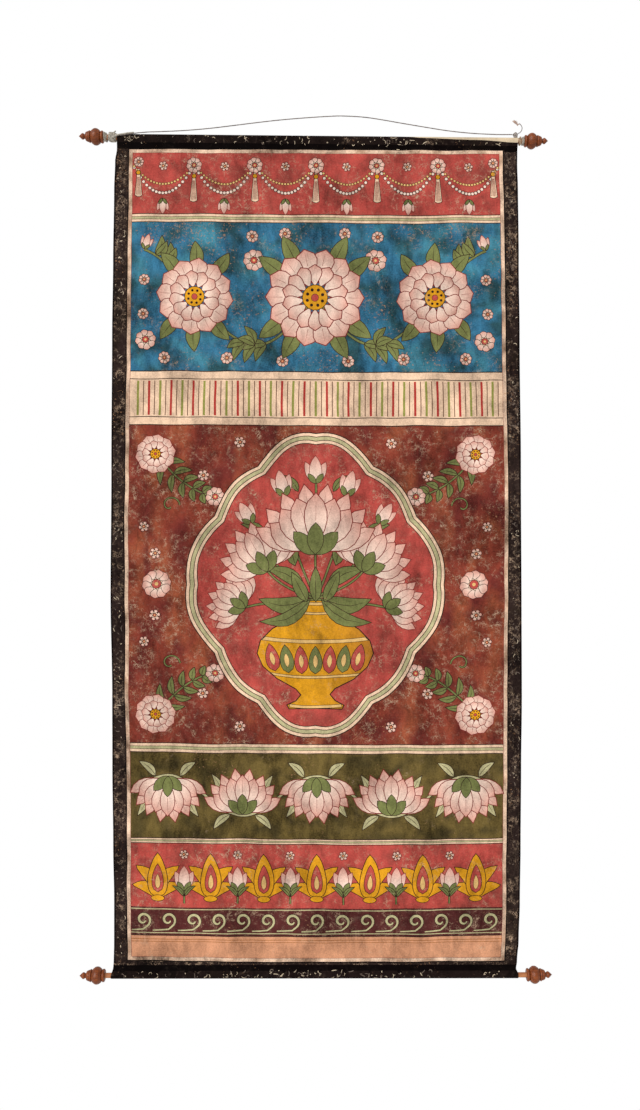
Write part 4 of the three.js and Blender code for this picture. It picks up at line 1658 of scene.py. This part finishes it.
def triangulate(rim, extra_points, shapes, limit_line):
    """Splits the flat sheet along every painted outline: its points, triangles and topmost shapes."""
    outline = [p for p, _ in rim]
    corners = [Vector((p.real, p.imag)) for p in outline]
    edges = [(i - 1, i) for i in range(1, len(outline))] + [(len(outline) - 1, 0)]
    if limit_line:
        ids = [outline.index(limit_line[0])]
        for p in limit_line[1:-1]:
            ids.append(len(corners))
            corners.append(Vector((p.real, p.imag)))
        ids.append(outline.index(limit_line[-1]))
        edges += zip(ids, ids[1:])
    for points, _ in shapes:
        ids = range(len(corners), len(corners) + len(points))
        corners += [Vector((p.real, p.imag)) for p in points]
        edges += [(ids[i - 1], ids[i]) for i in range(len(ids))]
    corners += [Vector((p.real, p.imag)) for p in extra_points]
    found, _, triangles, origins, _, _ = delaunay_2d_cdt(corners, edges, [], 0, MERGE_GAP, True)
    flat = np.array([(p.x, p.y) for p in found])
    place = {index: new for new, old in enumerate(origins) for index in old}
    border = [place[i] for i in range(len(outline))]
    triangles = np.array(triangles)
    centres = flat[triangles].mean(axis=1)
    within = topmost(centres, [[complex(*flat[i]) for i in border]]) > 0
    owners = topmost(centres[within], [points for points, _ in shapes])
    return flat, triangles[within].tolist(), owners.tolist(), border


def ground_paint(p):
    """Border paint, painted shade along the stitching below each sleeve's bulge with the sleeve's own paint
    beyond it, or bare cotton where the paint has stopped short behind the rods.
    """
    above = p.imag - stitch_line(TOP_ROD, p.real)
    below = stitch_line(FOOT_ROD, p.real) - p.imag
    if p.imag > paint_limit(p.real) or below > PAINT_FOOT:
        return COTTON
    if max(above, below) > SHADE_ABOVE:
        return SLEEVE_BLACK
    if max(above, below) > -SHADE_BELOW:
        return SLEEVE_SHADE
    return BLACK


def mark(points, wide, paint_used):
    """A narrow pointed stroke, drawn where it stands on the cloth."""
    right, left = [], []
    for before, here, after in zip(points, points[1:], points[2:]):
        half = left_of(after - before) * wide / 2
        right.append(here - half)
        left.append(here + half)
    SHAPES.append(([points[0], *right, points[-1], *reversed(left)], paint_used))


def scrape(rng, start, long, most_turn):
    """Points along a short scrape that curls as it goes."""
    way = rng.uniform(0, 2 * math.pi)
    turn = rng.uniform(-most_turn, most_turn)
    points = [start]
    for _ in range(4):
        points.append(points[-1] + long / 4 * complex(math.cos(way), math.sin(way)))
        way += turn
    return points


def on_sleeve(p, rod, deepest):
    beyond = (p.imag - stitch_line(rod, p.real)) * rod["up"]
    return -444 < p.real < 342 and 5 < beyond < deepest and p.imag < paint_limit(p.real) - 2


def scuff_sleeves(rng):
    for rod, deepest in ((TOP_ROD, 27), (FOOT_ROD, 24)):
        cluster = 0.0
        for _ in range(150):
            if rng.random() < 0.3:
                cluster = rng.uniform(-440, 330)
            x = cluster + rng.gauss(0, 26)
            start = complex(x, stitch_line(rod, x) + rod["up"] * rng.uniform(8, deepest))
            points = scrape(rng, start, rng.choice((3, 5, 8, 12)), 1.0)
            tone = SCUFF if rng.random() < 0.6 else FAINT_SCUFF
            if all(on_sleeve(p, rod, deepest) for p in points):
                mark(points, rng.uniform(0.7, 1.5), tone)


def scuff_sides(rng):
    for side, to_fillet in (("left", -12), ("right", 12)):
        cluster = -400.0
        for _ in range(240):
            if rng.random() < 0.25:
                cluster = rng.uniform(-1690, -80)
            t = cluster + rng.gauss(0, 30)
            if not -1694 < t < -72:
                continue
            outer, inner = edge_x(side, t), frame_x(side, t) + to_fillet
            start = complex(outer + (inner - outer) * rng.uniform(0.12, 0.95), t)
            points = scrape(rng, start, rng.choice((2.5, 4, 6, 10)), 0.7)
            reach = [abs(p.real - edge_x(side, p.imag)) for p in points]
            if min(reach) > 2.5 and max(reach) < abs(inner - outer):
                mark(points, rng.uniform(0.7, 1.6), SCUFF if rng.random() < 0.22 else FAINT_SCUFF)


def paint_scuffs():
    """Short curled scrapes in the black: bright ones on the two sleeves and faint ones down the sides."""
    rng = random.Random(5)
    scuff_sleeves(rng)
    scuff_sides(rng)


def paint_rim_shade():
    """Painted shade along the sheet's two rolled side edges: darker lines of paint there."""
    heights = np.linspace(-72, -1694, 120)
    for side, way in (("left", 1), ("right", -1)):
        outer, inner = [], []
        for t in heights:
            wide = 3.4 + 0.9 * noise.noise(Vector((t / 23, way, 0)))
            outer.append(complex(edge_x(side, t) + way * 0.8, t))
            inner.append(complex(edge_x(side, t) + way * wide, t))
        points = outer + inner[::-1] if way > 0 else inner + outer[::-1]
        SHAPES.append((points, FRAME_LINE_AND_EDGE_SHADE))


def limit_points(rim):
    """Where the paint ends over the head, from one side edge to the other."""
    left, right = (next(p for p, at in rim if at == side and abs(p.imag - paint_limit(p.real)) < 1e-6)
                   for side in ("left", "right"))
    steps = np.linspace(left.real, right.real, 200)[1:-1]
    return [left, *(complex(x, paint_limit(x)) for x in steps), right]


def corner_paints(flat, triangles, owners):
    """The paint at each corner of the painted face's triangles."""
    tones = []
    for tri, owner in zip(triangles, owners):
        points = [complex(*flat[i]) for i in tri]
        used = SHAPES[owner - 1][1] if owner else ground_paint(sum(points) / 3)
        tones += [used(p) for p in points] if callable(used) else [used] * 3
    return tones


def make_cloth():
    """The banner: a painted face and a back, each a net cut along its outlines, joined round their rim."""
    rng = random.Random(21)
    paint_rim_shade()
    paint_scuffs()
    paint_picture()
    rim = make_rim()
    front_net = net_points(18.0, 140, 8.0, rng)
    back_net = net_points(26.0, 50, 10.0, rng)
    front, front_tris, owners, front_rim = triangulate(rim, front_net, SHAPES, limit_points(rim))
    back, back_tris, _, back_rim = triangulate(rim, back_net, [], None)

    shift = len(front)
    faces = [tuple(tri) for tri in front_tris]
    faces += [tuple(shift + i for i in reversed(tri)) for tri in back_tris]
    count = len(rim)
    for i in range(count):
        j = (i + 1) % count
        faces.append((front_rim[i], shift + back_rim[i], shift + back_rim[j], front_rim[j]))
    vertices = np.concatenate([cloth_faces(*front.T, 1), cloth_faces(*back.T, -1)])
    mesh = bpy.data.meshes.new("painted_banner")
    mesh.from_pydata((vertices * MM).tolist(), [], faces)

    tones = np.array(corner_paints(front, front_tris, owners) + [COTTON] * (3 * len(back_tris) + 4 * count))
    ones = np.ones((len(tones), 1))
    for name, values in (("paint", tones[:, :3]), ("wear", tones[:, 3:])):
        layer = mesh.color_attributes.new(name, "FLOAT_COLOR", "CORNER")
        layer.data.foreach_set("color", np.hstack([values, ones]).ravel())
    flat = np.concatenate([front, back])
    side = np.concatenate([np.zeros(len(front)), np.ones(len(back))])
    layer = mesh.attributes.new("flat", "FLOAT_VECTOR", "POINT")
    layer.data.foreach_set("vector", np.column_stack([flat * MM, side]).ravel())
    layer = mesh.attributes.new("fold", "FLOAT", "POINT")
    layer.data.foreach_set("value", crease_depth(*flat.T)[1])
    lay_flat(mesh, flat, len(front_tris), len(back_tris), rim)

    banner = bpy.data.objects.new("painted_banner", mesh)
    bpy.context.scene.collection.objects.link(banner)
    bpy.ops.object.select_all(action="DESELECT")
    banner.select_set(True)
    bpy.context.view_layer.objects.active = banner
    bpy.ops.object.shade_smooth_by_angle(angle=math.radians(50))
    return banner


# The sheet's pattern on one unit square: its scale, its place, where the back is mirrored, the width of the
# strips of cut edge, and where each strip lies
LAYOUT = {"scale": 1 / 1830, "x": 480, "z": 20, "mirror": 1720, "strip": 0.004}
STRIPS = {"left": 0.97, "right": 0.977, "foot": 0.98, "top": 0.987}


def lay_flat(mesh, flat, front_count, back_count, rim):
    """The sheet's pattern pieces laid side by side: the face, the back, and its cut edge as strips."""
    which = np.empty(len(mesh.loops), dtype=np.int32)
    mesh.loops.foreach_get("vertex_index", which)
    across = flat[which, 0] + LAYOUT["x"]
    along = flat[which, 1] - flat[:, 1].min() + LAYOUT["z"]
    split = 3 * front_count
    ends = split + 3 * back_count
    across[split:ends] = LAYOUT["mirror"] - across[split:ends]
    spots = np.column_stack([across, along]) * LAYOUT["scale"]
    for i, (_, side) in enumerate(rim):
        axis = 0 if side in ("left", "right") else 1
        for k, wide in enumerate((0, 1, 1, 0)):
            spots[ends + 4 * i + k, axis] = STRIPS[side] + wide * LAYOUT["strip"]
    layer = mesh.uv_layers.new(name="OFBake")
    layer.data.foreach_set("uv", spots.ravel())


banner = dress(make_cloth(), "painted_cotton", "painted_cloth")
